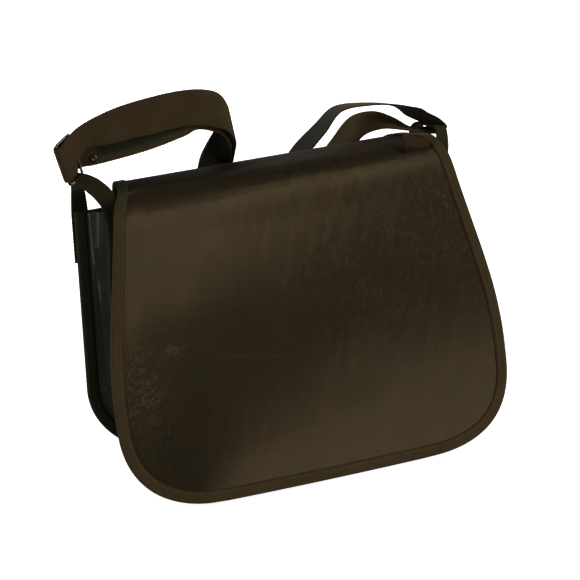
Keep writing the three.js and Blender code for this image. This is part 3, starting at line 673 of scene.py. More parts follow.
def woven_finish(name, deep, lit, twill, pick, relief):
    """Woven cotton: slanting twill ribs crossed by finer picks, read from the cloth's own map in millimetres,
    with uneven dye and a slight fuzz. One mark is painted shade that darkens the cloth and cools it towards a
    shadow colour, and below 0 a painted highlight that brightens it; the other mark is painted shade alone."""
    tints = {"Specular_Tint": COTTON_GLOSS, "Sheen_Tint": COTTON_GLOSS}
    material, tree, shader, place = new_finish(name, Specular_IOR_Level=0.15, Sheen_Weight=0.05, **tints)
    cloth = node(tree, "UVMap", uv_map="cloth").outputs["UV"]
    slanted = node(tree, "Mapping", {"Vector": cloth, "Rotation": (0, 0, TWILL_SLANT)}).outputs[0]
    thick = {"Vector": slanted, "Scale": WAVE_EACH_UNIT / twill, "Distortion": 1.4, "Detail": 2.0}
    ribs = node(tree, "TexWave", thick).outputs["Fac"]
    thin = {"Vector": cloth, "Scale": WAVE_EACH_UNIT / pick, "Distortion": 0.8}
    picks = node(tree, "TexWave", thin, bands_direction="Y").outputs["Fac"]
    weave = mix_values(tree, 0.4, ribs, picks)
    dye = noise(tree, place, 34.0, 6.0, 0.7)
    fuzz = noise(tree, place, 700.0, 3.0)
    uneven = mix_values(tree, 0.6, mix_values(tree, 0.5, weave, fuzz), dye)
    colour = ramp(tree, uneven, (0.3, deep), (0.7, lit))
    # Painted shade and painted highlight from two marks: the cloth is darkened and cooled where shade falls,
    # and brightened below 0 where light falls.
    painted_shade = marked(tree, "painted_shade")
    shade_factor = maths(tree, "MULTIPLY_ADD", painted_shade, -PAINTED_SHADE_DARK, 1.0)
    shade_factor = maths(tree, "SUBTRACT", shade_factor, marked(tree, "painted_edge_shade"))
    shaded_colour = mix_colours(tree, 1.0, colour, shade_factor, "MULTIPLY")
    shaded_colour = mix_colours(tree, 1.0, shaded_colour, mix_colours(tree, painted_shade, WHITE, PAINTED_SHADE_TINT), "MULTIPLY")
    nap = bump(tree, fuzz, 0.3, 0.0002)
    woven = bump(tree, weave, relief, 0.0003, Normal=nap)
    wire(tree, shader, Base_Color=shaded_colour, Roughness=spread(tree, fuzz, 0.3, 0.7, 0.72, 0.92), Normal=woven)
    return material


def thread_finish(name, colour):
    """Waxed thread: a little lighter and darker by its twist."""
    material, tree, shader, place = new_finish(name, Roughness=0.6, Specular_IOR_Level=0.35)
    twist = noise(tree, place, 1500.0, 1.0)
    dull = tuple(THREAD_DULL * part for part in colour[:3]) + (1,)
    shade = ramp(tree, twist, (0.3, dull), (0.65, colour))
    wire(tree, shader, Base_Color=shade, Normal=bump(tree, twist, 0.4, 0.0002))
    return material


def stitch_spots(count, ends):
    """The steps of a path that hold a stitch, a pitch apart, with some steps left free at both ends."""
    return np.round(np.arange(ends, count - ends, STITCH_PITCH / TAPE_STEP)).astype(int)


tape_cloth = woven_finish("tape_cloth", TAPE_DEEP, TAPE_LIT, twill=1.2, pick=0.8, relief=0.4)
thread = thread_finish("pale_thread", THREAD)
panel_slot = LEATHER / 2 + TAPE_GAP
flange_slot = LEATHER / 2 + CLEAR + GUSSET_LEATHER + TAPE_GAP
seams = {
    "back": (back_plane, BACK_TOP, 0, -flange_slot, panel_slot, TAPE_INNER_REACH, TAPE_REACH, 1),
    "front": (front_plane, FRONT_TOP, 1, -panel_slot, flange_slot, TAPE_REACH, TAPE_INNER_REACH, -1),
}
for name, (plane, top, eased, low, high, low_reach, high_reach, outside) in seams.items():
    rim = whole_rim(top, eased, TAPE_STEP)
    x, z = rim.T
    out = outwards(rim)
    place = joined(x, plane(z), z)
    side = unit(joined(out[:, 0], plane(z + out[:, 1]) - plane(z), out[:, 1]))
    travel = unit(np.gradient(place, axis=0))
    face = np.cross(travel, side)
    profile = folded_tape(low, high, low_reach, high_reach)
    run = np.arange(len(rim)) * TAPE_STEP
    shaped = puckered(profile, run, STITCH_IN - low_reach, STITCH_IN - high_reach)
    tape = swept(name + "_seam_tape", place, side, face, shaped)
    # Painted shade: the whole seam tape is darkened and cooled, as it lies in shade.
    mark(tape, "painted_shade", np.full(shaped.shape[:2], SEAM_PAINTED_SHADE))
    dress(tape, tape_cloth, name + "_binding", slot="tape")
    pick = stitch_spots(len(rim), STITCH_ENDS)
    reach = high_reach if outside > 0 else low_reach
    height = high + TAPE if outside > 0 else low - TAPE
    seat = place[pick] + side[pick] * (STITCH_IN - reach) + face[pick] * height
    row = stitches(name + "_seam_thread", seat, travel[pick], face[pick] * outside)
    dress(row, thread, slot="tape")


# The two loops: narrow webbing from the back panel up over the body's corner and down to the front panel.
# Each is sewn flat to both panels, and stands free over the gusset's top to hold the strap.
WEBBING = 2.0
WEBBING_COLUMNS = 15
SELVEDGE = 1.2
SELVEDGE_PITCH = 2.4
LOOP_WIDTH = 18.0
LOOP_STEP = 1.0
LOOP_SELVEDGE = 0.15
LOOP_MIDDLE = 18.0
# Painted shade on the loops: a little all over, and more down the legs below the top, where they lie in
# shade.
LEG_OUT = (20, 32)
LEG_TOP = (300, 316)
LOOP_PAINTED_SHADE = 0.2
LEG_PAINTED_SHADE = 0.7
# Each row: place, share of the full width, and how far the width swings back and rises as it goes right.
LEFT_LOOP = [
    (-189, 52.2, 234, 1, 0, 0),
    (-189, 51.2, 260, 1, 0, 0),
    (-189, 50.2, 284, 1, 0, 0),
    (-188, 52.5, 302, 0.9, 0.15, 0.1),
    (-189.3, 52.5, 314, 0.78, 0.45, 0.3),
    (-190.8, 50.4, 319, 0.72, 0.5, 0.32),
    (-191.3, 46.2, 320.8, 0.7, 0.53, 0.32),
    (-190, 40.5, 320.6, 0.74, 0.45, 0.5),
    (-185, 20, 315, 0.95, 0.35, 1.3),
    (-182, 3, 308.5, 1, 0.2, 0.9),
    (-181.5, -11, 300.5, 1, 0, 0.2),
    (-182, -21, 289, 1, 0, 0),
    (-182, -23.6, 279, 1, 0, 0),
    (-182, -26.3, 257, 1, 0, 0),
]
RIGHT_LOOP = [
    (189, 52.2, 234, 1, 0, 0),
    (189, 51.2, 260, 1, 0, 0),
    (189, 50.2, 284, 1, 0, 0),
    (190, 52.5, 302, 0.95, 0, 0),
    (192, 52, 312.5, 0.85, 0, 0),
    (193, 47.5, 316.6, 0.75, 0, 0),
    (193.5, 27, 317.5, 0.72, 0, 0),
    (192.5, 5, 316.6, 0.7, 0, 0),
    (191, -1, 311.5, 0.7, 0, 0),
    (187.5, -7, 304, 0.75, 0, 0),
    (182, -14.5, 297.5, 0.8, 0, 0),
    (178, -21, 289, 0.9, 0, 0),
    (176, -23.6, 279, 1, 0, 0),
    (175, -26.3, 257, 1, 0, 0),
]
WEBBING_DEEP = srgb(45, 36, 22)
WEBBING_LIT = srgb(65, 52, 32)


def webbing_profile(width):
    """Flat webbing's closed profile, anticlockwise: the under face from left to right, then the upper face
    back, each falling off in a quarter ellipse at the selvedges, where its points stand closer."""
    turn = np.linspace(-pi / 2, pi / 2, WEBBING_COLUMNS)
    s = np.sin(turn) * 0.35 + np.linspace(-1, 1, WEBBING_COLUMNS) * 0.65
    edge = np.clip((np.abs(s) * width / 2 - (width / 2 - SELVEDGE)) / SELVEDGE, 0, 1)
    half = WEBBING / 2 * (0.3 + 0.7 * np.sqrt(1 - edge**2))
    under = joined(s * width / 2, -half)
    upper = joined(s * width / 2, half)
    return np.concatenate([under, upper[::-1]])


def selvedged(profile, run, depth):
    """The profile at each step of the path, its width waved where the weft turns at the selvedges."""
    s, f = profile.T
    wave = 1 + depth / np.abs(s).max() * np.sin(2 * pi * run / SELVEDGE_PITCH)
    return joined(s * wave[:, None], f)


def even_shares(rows, step, closed=False):
    """Shares of the way along a smooth line that are an equal step apart on it, and the line's length."""
    fine = np.linspace(0, 1, len(rows) * 60 + 1)
    lengths = lengths_along(smooth_line(np.asarray(rows, float)[:, :3], fine, closed))
    count = round(lengths[-1] / step)
    return np.interp(np.linspace(0, lengths[-1], count + 1), lengths, fine), lengths[-1]


def square_to(travel, vectors):
    """Vectors less their part along a direction of travel."""
    return vectors - travel * (vectors * travel).sum(axis=-1, keepdims=True)


webbing_cloth = woven_finish("webbing_cloth", WEBBING_DEEP, WEBBING_LIT, twill=2.0, pick=1.2, relief=0.45)
loop_profile = webbing_profile(LOOP_WIDTH)
for name, rows in {"loop_left": LEFT_LOOP, "loop_right": RIGHT_LOOP}.items():
    at, length = even_shares(rows, LOOP_STEP)
    table = np.array(rows, float)
    place = smooth_line(table[:, :3], at)
    row = at * (len(rows) - 1)
    share, swing, rise = (np.interp(row, np.arange(len(rows)), column) for column in table.T[3:])
    travel = unit(np.gradient(place, axis=0))
    side = unit(square_to(travel, joined(1.0, swing, rise)))
    face = np.cross(travel, side)
    shaped = selvedged(loop_profile, at * length, LOOP_SELVEDGE)
    shaped = joined(shaped[..., 0] * share[:, None], shaped[..., 1])
    loop = swept(name + "_webbing", place, side, face, shaped)
    # Painted shade on each loop, strongest on its legs, where shade falls.
    legs = smooth_step(np.abs(place[:, 1] - LOOP_MIDDLE), *LEG_OUT) * (1 - smooth_step(place[:, 2], *LEG_TOP))
    mark(loop, "painted_shade", np.broadcast_to(LOOP_PAINTED_SHADE + LEG_PAINTED_SHADE * legs[:, None], shaped.shape[:2]))
    dress(loop, webbing_cloth, name, slot="webbing")
    flat = (0.018, round(length * MM, 3))


# The flap: one large cut of grained dark brown leather, 2 mm thick, sewn to the back panel by its upper hem.
# It rolls over the top and hangs down the whole front, bowed out a little, creased and rubbed by use.
FLAP_HEIGHT = 300.0
# Each row over the top: depth, height and half width. Each row down the front: height and half width.
FLAP_TOP = [
    (49.6, 262, 151),
    (48.5, 287, 151),
    (47, 299, 152.5),
    (39.5, 308, 155),
    (25, 312, 159),
    (2, 312, 166),
    (-14, 309.5, 173),
    (-22, 303.5, 179),
]
FLAP_FRONT = [(293, 183.2), (260, 190), (225, 197.4), (190, 204.9), (155, 211), (122, 214)]
FLAP_FOOT = 72.0
FLAP_LEAN = 0.158
FLAP_BOW = 5.0
FLAP_BOTTOM = 4.5
FLAP_SAG = 2.0
FLAP_SAG_HALF = 170.0
FLAP_WIDEST = 214.3
FLAP_CORNER_WIDE = 105.0
FLAP_CORNER_HIGH = 92.0
FLAP_CORNER_STEPS = 9
FLAP_SKEW = 0.008
FLAP_LEFT_POWER = 2.4
FLAP_RIGHT_POWER = 2.65
FLAP_SPANS = len(FLAP_TOP) + len(FLAP_FRONT) + FLAP_CORNER_STEPS
FLAP_COLUMNS = 196
FLAP_STEP = 2.05
ROLL_ROW = 5.8
ROLL_HALF = 0.9
RIM_LIFT = 3.5
RIM_LIFT_FROM = 0.9
RIM_DROP = 2.5
RIM_DROP_TO = 0.08
SLACK_FROM_EDGE = (11, 34)
SLACK_FROM_HEM = (70, 120)
ROLLED_DOWN_TO = (95, 125)
FLAP_WAVES = [(0.5, 150, 120, 3, 8, 31), (0.2, 52, 46, 0, 0, 32)]
LONG_PULL = [(0.05, 7.5, 46, 0, 0, 33)]
SHORT_PULL = [(0.03, 5, 24, 0, 0, 34)]
PULL_SLANT = 0.375
CREASED_LEAST = 0.4
CREASED_SLANT = 0.35
CREASED_RIGHT = (20, 110)
CREASED_UP = (60, 150)
# Each patch of crackle: its middle, its half width and height, and its strength.
CRACKLES = [(-186, 118, 31, 50, 1.0), (-149, 158, 17, 11, 0.8), (-174, 225, 14, 8, 0.5)]
RUMPLES = [(0.36, 8, 7, 35), (0.22, 5, 5, 36)]
# Each scratch: its middle, its half length and its slope.
SCRATCHES = [
    (142, 234, 15, 0.18),
    (50, 206.4, 14, 0.18),
    (96, 155, 9, 0.18),
    (101, 151, 7, 0.18),
    (-65, 137, 45, 0.18),
    (-25, 55, 24, 0.02),
]
SCRATCH_HALF = 1.3
SCRATCH_FADE = 5.0
SCRATCH_PALE = 0.4
FLAP_ROUGH = 0.18


def flap_front(z):
    """The flap's depth down its front: a plane that leans back, bowed out by half a sine wave."""
    return FLAP_LEAN * z - FLAP_FOOT - FLAP_BOW * np.sin(pi * z / FLAP_HEIGHT)


def flap_rim(sign, power):
    """One edge of the flap as rows: over the top, down the front, and a superellipse round the lower corner;
    the right edge hangs lower than the left by a share of its half width."""
    turn = np.linspace(0, pi / 2, FLAP_CORNER_STEPS + 1)
    half = FLAP_WIDEST - FLAP_CORNER_WIDE * (1 - np.abs(np.cos(turn)) ** (2 / power))
    z = FLAP_BOTTOM + FLAP_CORNER_HIGH * (1 - np.abs(np.sin(turn)) ** (2 / power))
    front = np.concatenate([np.array(FLAP_FRONT), joined(z, half)])
    skew = FLAP_SKEW * sign * front[:, 1] * (1 - front[:, 0] / FLAP_HEIGHT)
    over = np.array([(sign * half, y, z) for y, z, half in FLAP_TOP])
    down = joined(sign * front[:, 1], flap_front(front[:, 0]), front[:, 0] - skew)
    return np.concatenate([over, down])


flap_left = flap_rim(-1, FLAP_LEFT_POWER)
flap_right = flap_rim(1, FLAP_RIGHT_POWER)


def flap_middle(u, v):
    """The flap's middle surface: u from -1 at the left rim to 1 at the right on straight lines, v from hem to
    lower edge along the rims, with a sag at the middle of the lower edge that fades upwards by its square.
    Where it rolls over, a bell along v lifts the right rim a little and drops the left one."""
    shape = np.broadcast(u, v).shape
    flat_v = np.broadcast_to(v, shape).ravel()
    share = ((1 + np.broadcast_to(u, shape).ravel()) / 2)[:, None]
    points = smooth_line(flap_left, flat_v) * (1 - share) + smooth_line(flap_right, flat_v) * share
    low = np.maximum(1 - points[:, 2] / FLAP_HEIGHT, 0)
    points[:, 2] -= FLAP_SAG * np.maximum(1 - (points[:, 0] / FLAP_SAG_HALF) ** 2, 0) * low**2
    lift = RIM_LIFT * smooth_step(share[:, 0], RIM_LIFT_FROM, 1)
    drop = RIM_DROP * (1 - smooth_step(share[:, 0], 0, RIM_DROP_TO))
    points[:, 2] += bell(flat_v * FLAP_SPANS - ROLL_ROW, ROLL_HALF) * (lift - drop)
    return points.reshape(*shape, 3)


def flap_inward(u, v):
    """The direction square to the flap's middle surface, towards the body, from two short steps."""
    step = 1e-3
    across = flap_middle(u + step, v) - flap_middle(u - step, v)
    along = flap_middle(u, np.minimum(v + step, 1)) - flap_middle(u, np.maximum(v - step, 0))
    return unit(np.cross(across, along))


def mark_sides(piece, name, values):
    """One grid of values for both faces of a wall that was built from right to left."""
    mark(piece, name, np.tile(values[:, ::-1].ravel(), 2))


fine_v = np.linspace(0, 1, 1200)
spine_run = lengths_along(flap_middle(np.zeros_like(fine_v), fine_v))
flap_long = spine_run[-1]
down = np.linspace(0, flap_long, round(flap_long / FLAP_STEP) + 1)[:, None]
flap_v = np.interp(down, spine_run, fine_v)
flap_u = np.linspace(-1, 1, FLAP_COLUMNS + 1)[None]
flap_grid = flap_middle(flap_u, flap_v)
x, z = flap_grid[..., 0], flap_grid[..., 2]
edge_gap = np.minimum((1 - np.abs(flap_u)) * np.abs(flap_grid[:, :1, 0]), flap_long - down)
slack = smooth_step(edge_gap, *SLACK_FROM_EDGE) * smooth_step(down, *SLACK_FROM_HEM)
upper_right = smooth_step(x + CREASED_SLANT * z, *CREASED_RIGHT) * smooth_step(z, *CREASED_UP)
creased = CREASED_LEAST + (1 - CREASED_LEAST) * upper_right
pull = creased * (waves(x + PULL_SLANT * down, down, LONG_PULL) + waves(x, down, SHORT_PULL))
crackle = np.zeros_like(x)
for at_x, at_z, wide, high, strength in CRACKLES:
    crackle = np.maximum(crackle, strength * bell(x - at_x, wide) * bell(z - at_z, high))
scored = np.zeros_like(x)
for at_x, at_z, half, slope in SCRATCHES:
    near = bell(z - at_z + slope * (x - at_x), SCRATCH_HALF)
    scored = np.maximum(scored, SCRATCH_PALE * near * smooth_step(half - np.abs(x - at_x), 0, SCRATCH_FADE))
rumple = sum(deep * np.abs(soft_noise(x / wide, down / long, seed)) for deep, wide, long, seed in RUMPLES)
rolled = np.broadcast_to(1 - smooth_step(down, *ROLLED_DOWN_TO), x.shape)
wrinkle = slack * (waves(x, down, FLAP_WAVES) + pull - rumple * crackle)
flap_grid = flap_grid - flap_inward(flap_u, flap_v) * wrinkle[..., None]
flap = leather_wall("flap_leather", flap_grid, LEATHER, -1)
for name, values in {"crackle": crackle, "creased": creased, "scored": scored, "rolled": rolled}.items():
    mark_sides(flap, name, values)
flap_finish = leather_finish("flap_grain", LEATHER_DEEP, LEATHER_WORN, LEATHER_FLESH, FLAP_ROUGH, BROWN_GLOSS)
dress(flap, flap_finish, "flap", slot="leather")


# The flap's tape: the same woven tape folded over the flap's free edge, from the hinge's left end down, along
# the bottom and up to the hinge's right end, sewn through with one row of pale thread.
HINGE_ROW = 1.25
BOTTOM_POINTS = 140
# Painted shade on the flap's tape near the hinge, and the rows over which it fades out.
HINGE_PAINTED_SHADE = 0.8
HINGE_PAINTED_SHADE_ROWS = (5, 7.5)
# Painted shade along the tape's inner edges, and how far in from the edge it lies.
HEM_PAINTED_SHADE = 0.55
HEM_PAINTED_SHADE_IN = (1.4, 0.4)
FLAP_STITCH_ENDS = 4
flap_down = flap_v[flap_v > HINGE_ROW / FLAP_SPANS]
bottom = np.linspace(-1, 1, BOTTOM_POINTS)[1:-1]
rim_u = np.concatenate([-np.ones(len(flap_down)), bottom, np.ones(len(flap_down))])
rim_v = np.concatenate([flap_down, np.ones(len(bottom)), flap_down[::-1]])
rim_run = lengths_along(flap_middle(rim_u, rim_v))
run = np.linspace(0, rim_run[-1], round(rim_run[-1] / TAPE_STEP) + 1)
rim_u, rim_v = np.interp(run, rim_run, rim_u), np.interp(run, rim_run, rim_v)
rim_row = rim_v * FLAP_SPANS
place = flap_middle(rim_u, rim_v)
face = flap_inward(rim_u, rim_v)
travel = unit(np.gradient(place, axis=0))
level = np.sign(rim_u)[:, None] * np.array([1.0, 0.0, 0.0])
squared = unit(np.cross(face, travel))
over_roll = smooth_step(rim_row, len(FLAP_TOP) - 1, len(FLAP_TOP) + 1)[:, None]
side = unit(level * (1 - over_roll) + squared * over_roll)
slot_half = LEATHER / 2 + TAPE_GAP
stitch_row = STITCH_IN - TAPE_REACH
profile = folded_tape(-slot_half, slot_half, TAPE_REACH, TAPE_REACH)
shaped = puckered(profile, run, stitch_row, stitch_row)
flap_tape = swept("flap_tape", place, side, face, shaped)
# Painted shade: the tape is darkened and cooled on the left, where it goes over the roll to the hinge.
hinge_painted_shade = HINGE_PAINTED_SHADE * (1 - smooth_step(rim_row, *HINGE_PAINTED_SHADE_ROWS)) * (rim_u < 0)
mark(flap_tape, "painted_shade", np.broadcast_to(hinge_painted_shade[:, None], shaped.shape[:2]))
# Painted shade: a dark line along the tape's inner edges, where they meet the leather.
hem = smooth_step(-shaped[..., 0], TAPE_REACH - HEM_PAINTED_SHADE_IN[0], TAPE_REACH - HEM_PAINTED_SHADE_IN[1])
mark(flap_tape, "painted_edge_shade", HEM_PAINTED_SHADE * hem)
dress(flap_tape, tape_cloth, "flap_binding", slot="tape")
pick = stitch_spots(len(run), FLAP_STITCH_ENDS)
seat = place[pick] + side[pick] * stitch_row - face[pick] * (slot_half + TAPE)
flap_thread = stitches("flap_thread", seat, travel[pick], -face[pick])
dress(flap_thread, thread, slot="tape")


# The label: a bare woven tab, folded double, sewn in beside the tape where the flap rolls over at the right.
# Its rounded fold faces down and stands a little off the leather, and its upper end stands free of the roll.
LABEL_LAYERS = 2.0
LABEL_ACROSS = (0.752, 0.91)
LABEL_HIGH = 18.5
LABEL_SLOPE = 0.55
LABEL_ROW = 7.0
LABEL_OFF = 1.2
LABEL_TUCK = 1.5
LABEL_UP = (0, 0.15, 0.99)
LABEL_BOW = 0.8
LABEL_WAVES = [(0.5, 0.04, 7, 0, 0, 41)]
LABEL_COLUMNS = 45
LABEL_ROWS = 31
# Painted shadow along the label's lower fold, and the height over which it fades.
LABEL_PAINTED_SHADOW = 0.95
LABEL_PAINTED_SHADOW_TO = (2, 4)
LABEL_DEEP = srgb(44, 30, 18)
LABEL_LIT = srgb(63, 43, 26)
label_u = np.linspace(*LABEL_ACROSS, LABEL_COLUMNS)[None]
label_v = np.full((1, 1), LABEL_ROW / FLAP_SPANS)
seat = flap_middle(label_u, label_v)
label_front = -flap_inward(label_u, label_v)
label_high = LABEL_HIGH * np.linspace(1, LABEL_SLOPE, LABEL_COLUMNS)[None]
above = np.linspace(0, 1, LABEL_ROWS)[:, None] ** 1.6 * label_high
bow = LABEL_BOW * np.sin(pi * above / label_high) + waves(label_u, above, LABEL_WAVES)
off = LEATHER / 2 + CLEAR + LABEL_LAYERS / 2 + LABEL_OFF + bow
label_up = unit(np.array(LABEL_UP))
label_middle = seat + label_up * (above[..., None] - LABEL_TUCK) + label_front * off[..., None]
fold = np.sqrt(np.clip(1 - np.clip(1 - above / LABEL_LAYERS, 0, 1) ** 2, 0.02, 1))
layers = (label_front * fold[..., None]) * LABEL_LAYERS / 2
label = shell("label_tab", label_middle + layers, label_middle - layers)
# Painted shadow: the label is darkened and cooled along its lower fold, where its shadow falls.
mark_sides(label, "painted_shade", LABEL_PAINTED_SHADOW * (1 - smooth_step(above, *LABEL_PAINTED_SHADOW_TO)))
label_cloth = woven_finish("label_cloth", LABEL_DEEP, LABEL_LIT, twill=0.8, pick=0.6, relief=0.4)
dress(label, label_cloth, "label", slot="label")


# The slide: a flat ring of bent wire, dark plated steel, that joins the strap to the left loop.
# The strap turns round its left side, and the loop passes over its lower side.
SLIDE_WIDE = 24.0
SLIDE_HIGH = 48.0
SLIDE_BAR = 2.4
SLIDE_CORNER = 3.6
SLIDE_STEP = 0.8
SLIDE_SIDES = 16
SLIDE_PLACE = np.array([-197.6, 42.8, 339])
SLIDE_TILT = radians(-20)
SLIDE_TURN = radians(28)
METAL_DARK = srgb(46, 43, 36)
METAL_RUBBED = srgb(128, 120, 100)


def turned(x, y, z):
    """A rotation about x, then y, then z, as a matrix."""
    about_x = np.array([[1, 0, 0], [0, cos(x), -sin(x)], [0, sin(x), cos(x)]])
    about_y = np.array([[cos(y), 0, sin(y)], [0, 1, 0], [-sin(y), 0, cos(y)]])
    about_z = np.array([[cos(z), -sin(z), 0], [sin(z), cos(z), 0], [0, 0, 1]])
    return about_z @ about_y @ about_x


def closed_travel(line):
    """The direction along a closed line at each point, from the point before it to the point after it."""
    return unit(np.roll(line, -1, axis=0) - np.roll(line, 1, axis=0))


def metal_finish(name, dark, rubbed):
    """Dark plated steel, rubbed bright in patches, with fine scratches."""
    material, tree, shader, place = new_finish(name, Metallic=1.0)
    rub = noise(tree, place, 160.0, 5.0, 0.6)
    colour = ramp(tree, rub, (0.35, dark), (0.72, rubbed))
    scratched = bump(tree, noise(tree, place, 2200.0, 2.0), 0.2, 0.0001)
    wire(tree, shader, Base_Color=colour, Roughness=spread(tree, rub, 0.3, 0.7, 0.46, 0.28), Normal=scratched)
    return material


slide_axes = turned(pi / 2, SLIDE_TILT, SLIDE_TURN)
in_plane = slide_axes[:, :2].T
arm = np.array([SLIDE_WIDE / 2 - SLIDE_CORNER, SLIDE_HIGH / 2 - SLIDE_CORNER])
corners = np.array([(1, -1), (1, 1), (-1, 1), (-1, -1)]) * arm
bend = np.linspace(0, pi / 2, 12) + np.array([[-1], [0], [1], [2]]) * pi / 2
rounding = joined(np.cos(bend), np.sin(bend)) * (SLIDE_CORNER - SLIDE_BAR / 2)
ring = (corners[:, None] + rounding).reshape(-1, 2)
ring = evenly(np.concatenate([ring, ring[:1]]), SLIDE_STEP)[:-1]
ring_travel = closed_travel(ring)
slide_side = joined(ring_travel[:, 1], -ring_travel[:, 0]) @ in_plane
slide_face = np.cross(ring_travel @ in_plane, slide_side)
angle = np.arange(SLIDE_SIDES) * 2 * pi / SLIDE_SIDES
bar = joined(np.cos(angle), np.sin(angle))
bar = bar * SLIDE_BAR / 2 / (np.abs(bar) ** 3).sum(axis=1, keepdims=True) ** (1 / 3)
slide = swept("slide_ring", SLIDE_PLACE + ring @ in_plane, slide_side, slide_face, bar, closed=True)
plated_steel = metal_finish("plated_steel", METAL_DARK, METAL_RUBBED)
dress(slide, plated_steel, "strap_slide", slot="metal")


# The strap: one closed run of 38 mm cotton webbing, doubled. It turns round the slide, passes over the left
# arch to a loose slanting fold, hangs behind the bag, goes through the right loop, and comes back inside.
STRAP_WIDTH = 38.0
STRAP_STEP = 0.62
STRAP_SELVEDGE = 0.22
SLIDE_TURN_RADIUS = 3.2
STRAP_ON_SLIDE = 1.5
# Each row: place, and the direction of the webbing's width with its share as length.
LEFT_ARCH_OUTER = [
    (-180, 44, 353, -0.22, 0, 0.88),
    (-144, 47, 363, -0.15, 0, 0.95),
    (-109, 48, 368, -0.07, 0, 0.96),
    (-74, 49, 370, 0.02, 0, 0.96),
]
FOLD_OUTER = [
    (-53, 50, 368.5, 0.05, 0, 0.96),
    (-36, 52.5, 364, 0.09, 0.08, 0.94),
    (-23, 57, 357.5, 0.07, 0.31, 0.88),
    (-14, 63.5, 348, 0.07, 0.43, 0.84),
    (-8.5, 71.5, 338, 0.08, 0.52, 0.82),
    (-9, 78, 329.5, 0, 0.54, 0.82),
    (-13.5, 81.5, 320.5, -0.28, 0.4, 0.82),
    (-20, 83.5, 310, -0.68, 0.12, 0.62),
    (-25, 83, 302, -0.88, 0.05, 0.36),
]
BEHIND_OUTER = [
    (-28, 82.5, 286, -1, 0, 0.1),
    (-29, 84, 255, -0.75, -0.66, 0),
    (-30, 84, 212, -0.1, -1, 0),
    (-16, 84, 166, 0, -1, 0),
    (37, 84, 142, 0, -1, 0),
    (90, 84, 166, 0, -1, 0),
    (98, 82, 214, 0, -1, 0),
    (95, 75, 279, 0, -1, -0.1),
    (112, 69, 302, 0, -0.95, -0.3),
    (128, 63, 320, -0.1, -0.92, -0.38),
    (143, 56, 324, -0.2, -0.9, -0.35),
    (157, 46, 321.5, -0.25, -0.93, -0.2),
    (171, 34, 315.5, -0.2, -0.98, 0),
    (186, 27, 312, -0.15, -0.98, 0),
    (198.5, 25.5, 312, -0.1, -0.99, 0),
    (203.5, 25, 316.3, -0.1, -0.99, 0.05),
    (199, 25.5, 320.4, -0.05, -0.98, 0.12),
]
BEHIND_INNER = [
    (193, 30, 323.3, -0.05, -0.96, 0.25),
    (186.6, 36, 327, -0.1, -0.92, 0.37),
    (177, 41.5, 331.5, -0.2, -0.91, 0.34),
    (166, 49, 338, -0.33, -0.92, 0.18),
    (137, 60, 342, -0.1, -0.98, 0.1),
    (108, 66, 340, 0, -0.98, 0.12),
    (91, 70, 324, 0, -0.99, 0.1),
    (61, 78, 291, 0, -1, 0),
    (58, 81, 256, 0, -1, 0),
    (62, 83, 216, 0, -1, 0),
    (50, 84, 186, 0, -1, 0),
    (19, 84, 171, 0, -1, 0),
    (-12, 84, 186, 0, -1, 0),
    (-24, 83.5, 216, -0.1, -1, 0),
    (-25, 79.5, 255, -0.75, -0.66, 0),
    (-27.5, 76.5, 286, -1, 0, 0.1),
]
FOLD_INNER = [
    (-26, 77, 301.5, -0.88, 0.05, 0.36),
    (-22, 77.5, 309, -0.67, 0.12, 0.62),
    (-18, 77.2, 319.5, -0.28, 0.38, 0.82),
    (-14.8, 76, 328.5, -0.03, 0.5, 0.82),
    (-14.5, 72, 336, 0.06, 0.48, 0.82),
    (-19, 67, 344.5, 0.06, 0.4, 0.84),
    (-27, 62, 353, 0.06, 0.28, 0.88),
    (-37, 59, 359, 0.07, 0.08, 0.94),
    (-52, 57, 363, 0.05, 0, 0.96),
]
LEFT_ARCH_INNER = [
    (-72, 56, 358.5, 0, 0, 0.97),
    (-107, 54.5, 352, -0.1, 0, 0.97),
    (-143, 53, 348, -0.13, 0, 0.96),
    (-170, 52, 345.5, -0.15, 0, 0.93),
]
# Values at rows of the whole run: how far the lower selvedge is drawn up, the painted shade on each face,
# below 0 a painted highlight, and the painted shade where the outer run covers the inner one but for its
# lower strip.
DRAWN_UP = [(5.42, 0), (5.56, 0.58), (6, 0.62), (6.5, 0.3), (7, 0.14), (8, 0)]
INSIDE_PAINTED_LIGHT_AND_SHADE = [
    (10, 0), (12, 0.9), (14, 0.9), (16, 0), (24, 0), (27, -1.4), (30, -1.4),
    (32, 0.3), (33.5, 0.85), (38.4, 0.85), (39.2, 0),
]
OUTSIDE_PAINTED_SHADE = [
    (40.6, 0), (41.4, 0.7), (42, 0.85), (43.5, 0.85), (45, 0),
    (50.5, 0), (52, 0.95), (57.5, 0.95), (59.5, 0),
]
PAINTED_SHADE_UNDER_OUTER = [(60, 0), (61, 0.95), (63.6, 0.95), (64.5, 0)]
PAINTED_SHADE_UNDER_FROM = (-14, -8)
left_bar = (SLIDE_BAR - SLIDE_WIDE) / 2
bar_turn = -pi / 2 - np.linspace(0, pi, 5)
turn_across = np.concatenate([[SLIDE_WIDE / 2], left_bar + SLIDE_TURN_RADIUS * np.cos(bar_turn)])
turn_out = np.concatenate([[-SLIDE_TURN_RADIUS], SLIDE_TURN_RADIUS * np.sin(bar_turn)])
turn_local = joined(turn_across, STRAP_ON_SLIDE, turn_out)
turn_width = np.broadcast_to(slide_axes[:, 1], turn_local.shape)
slide_bend = np.hstack([SLIDE_PLACE + turn_local @ slide_axes.T, turn_width])
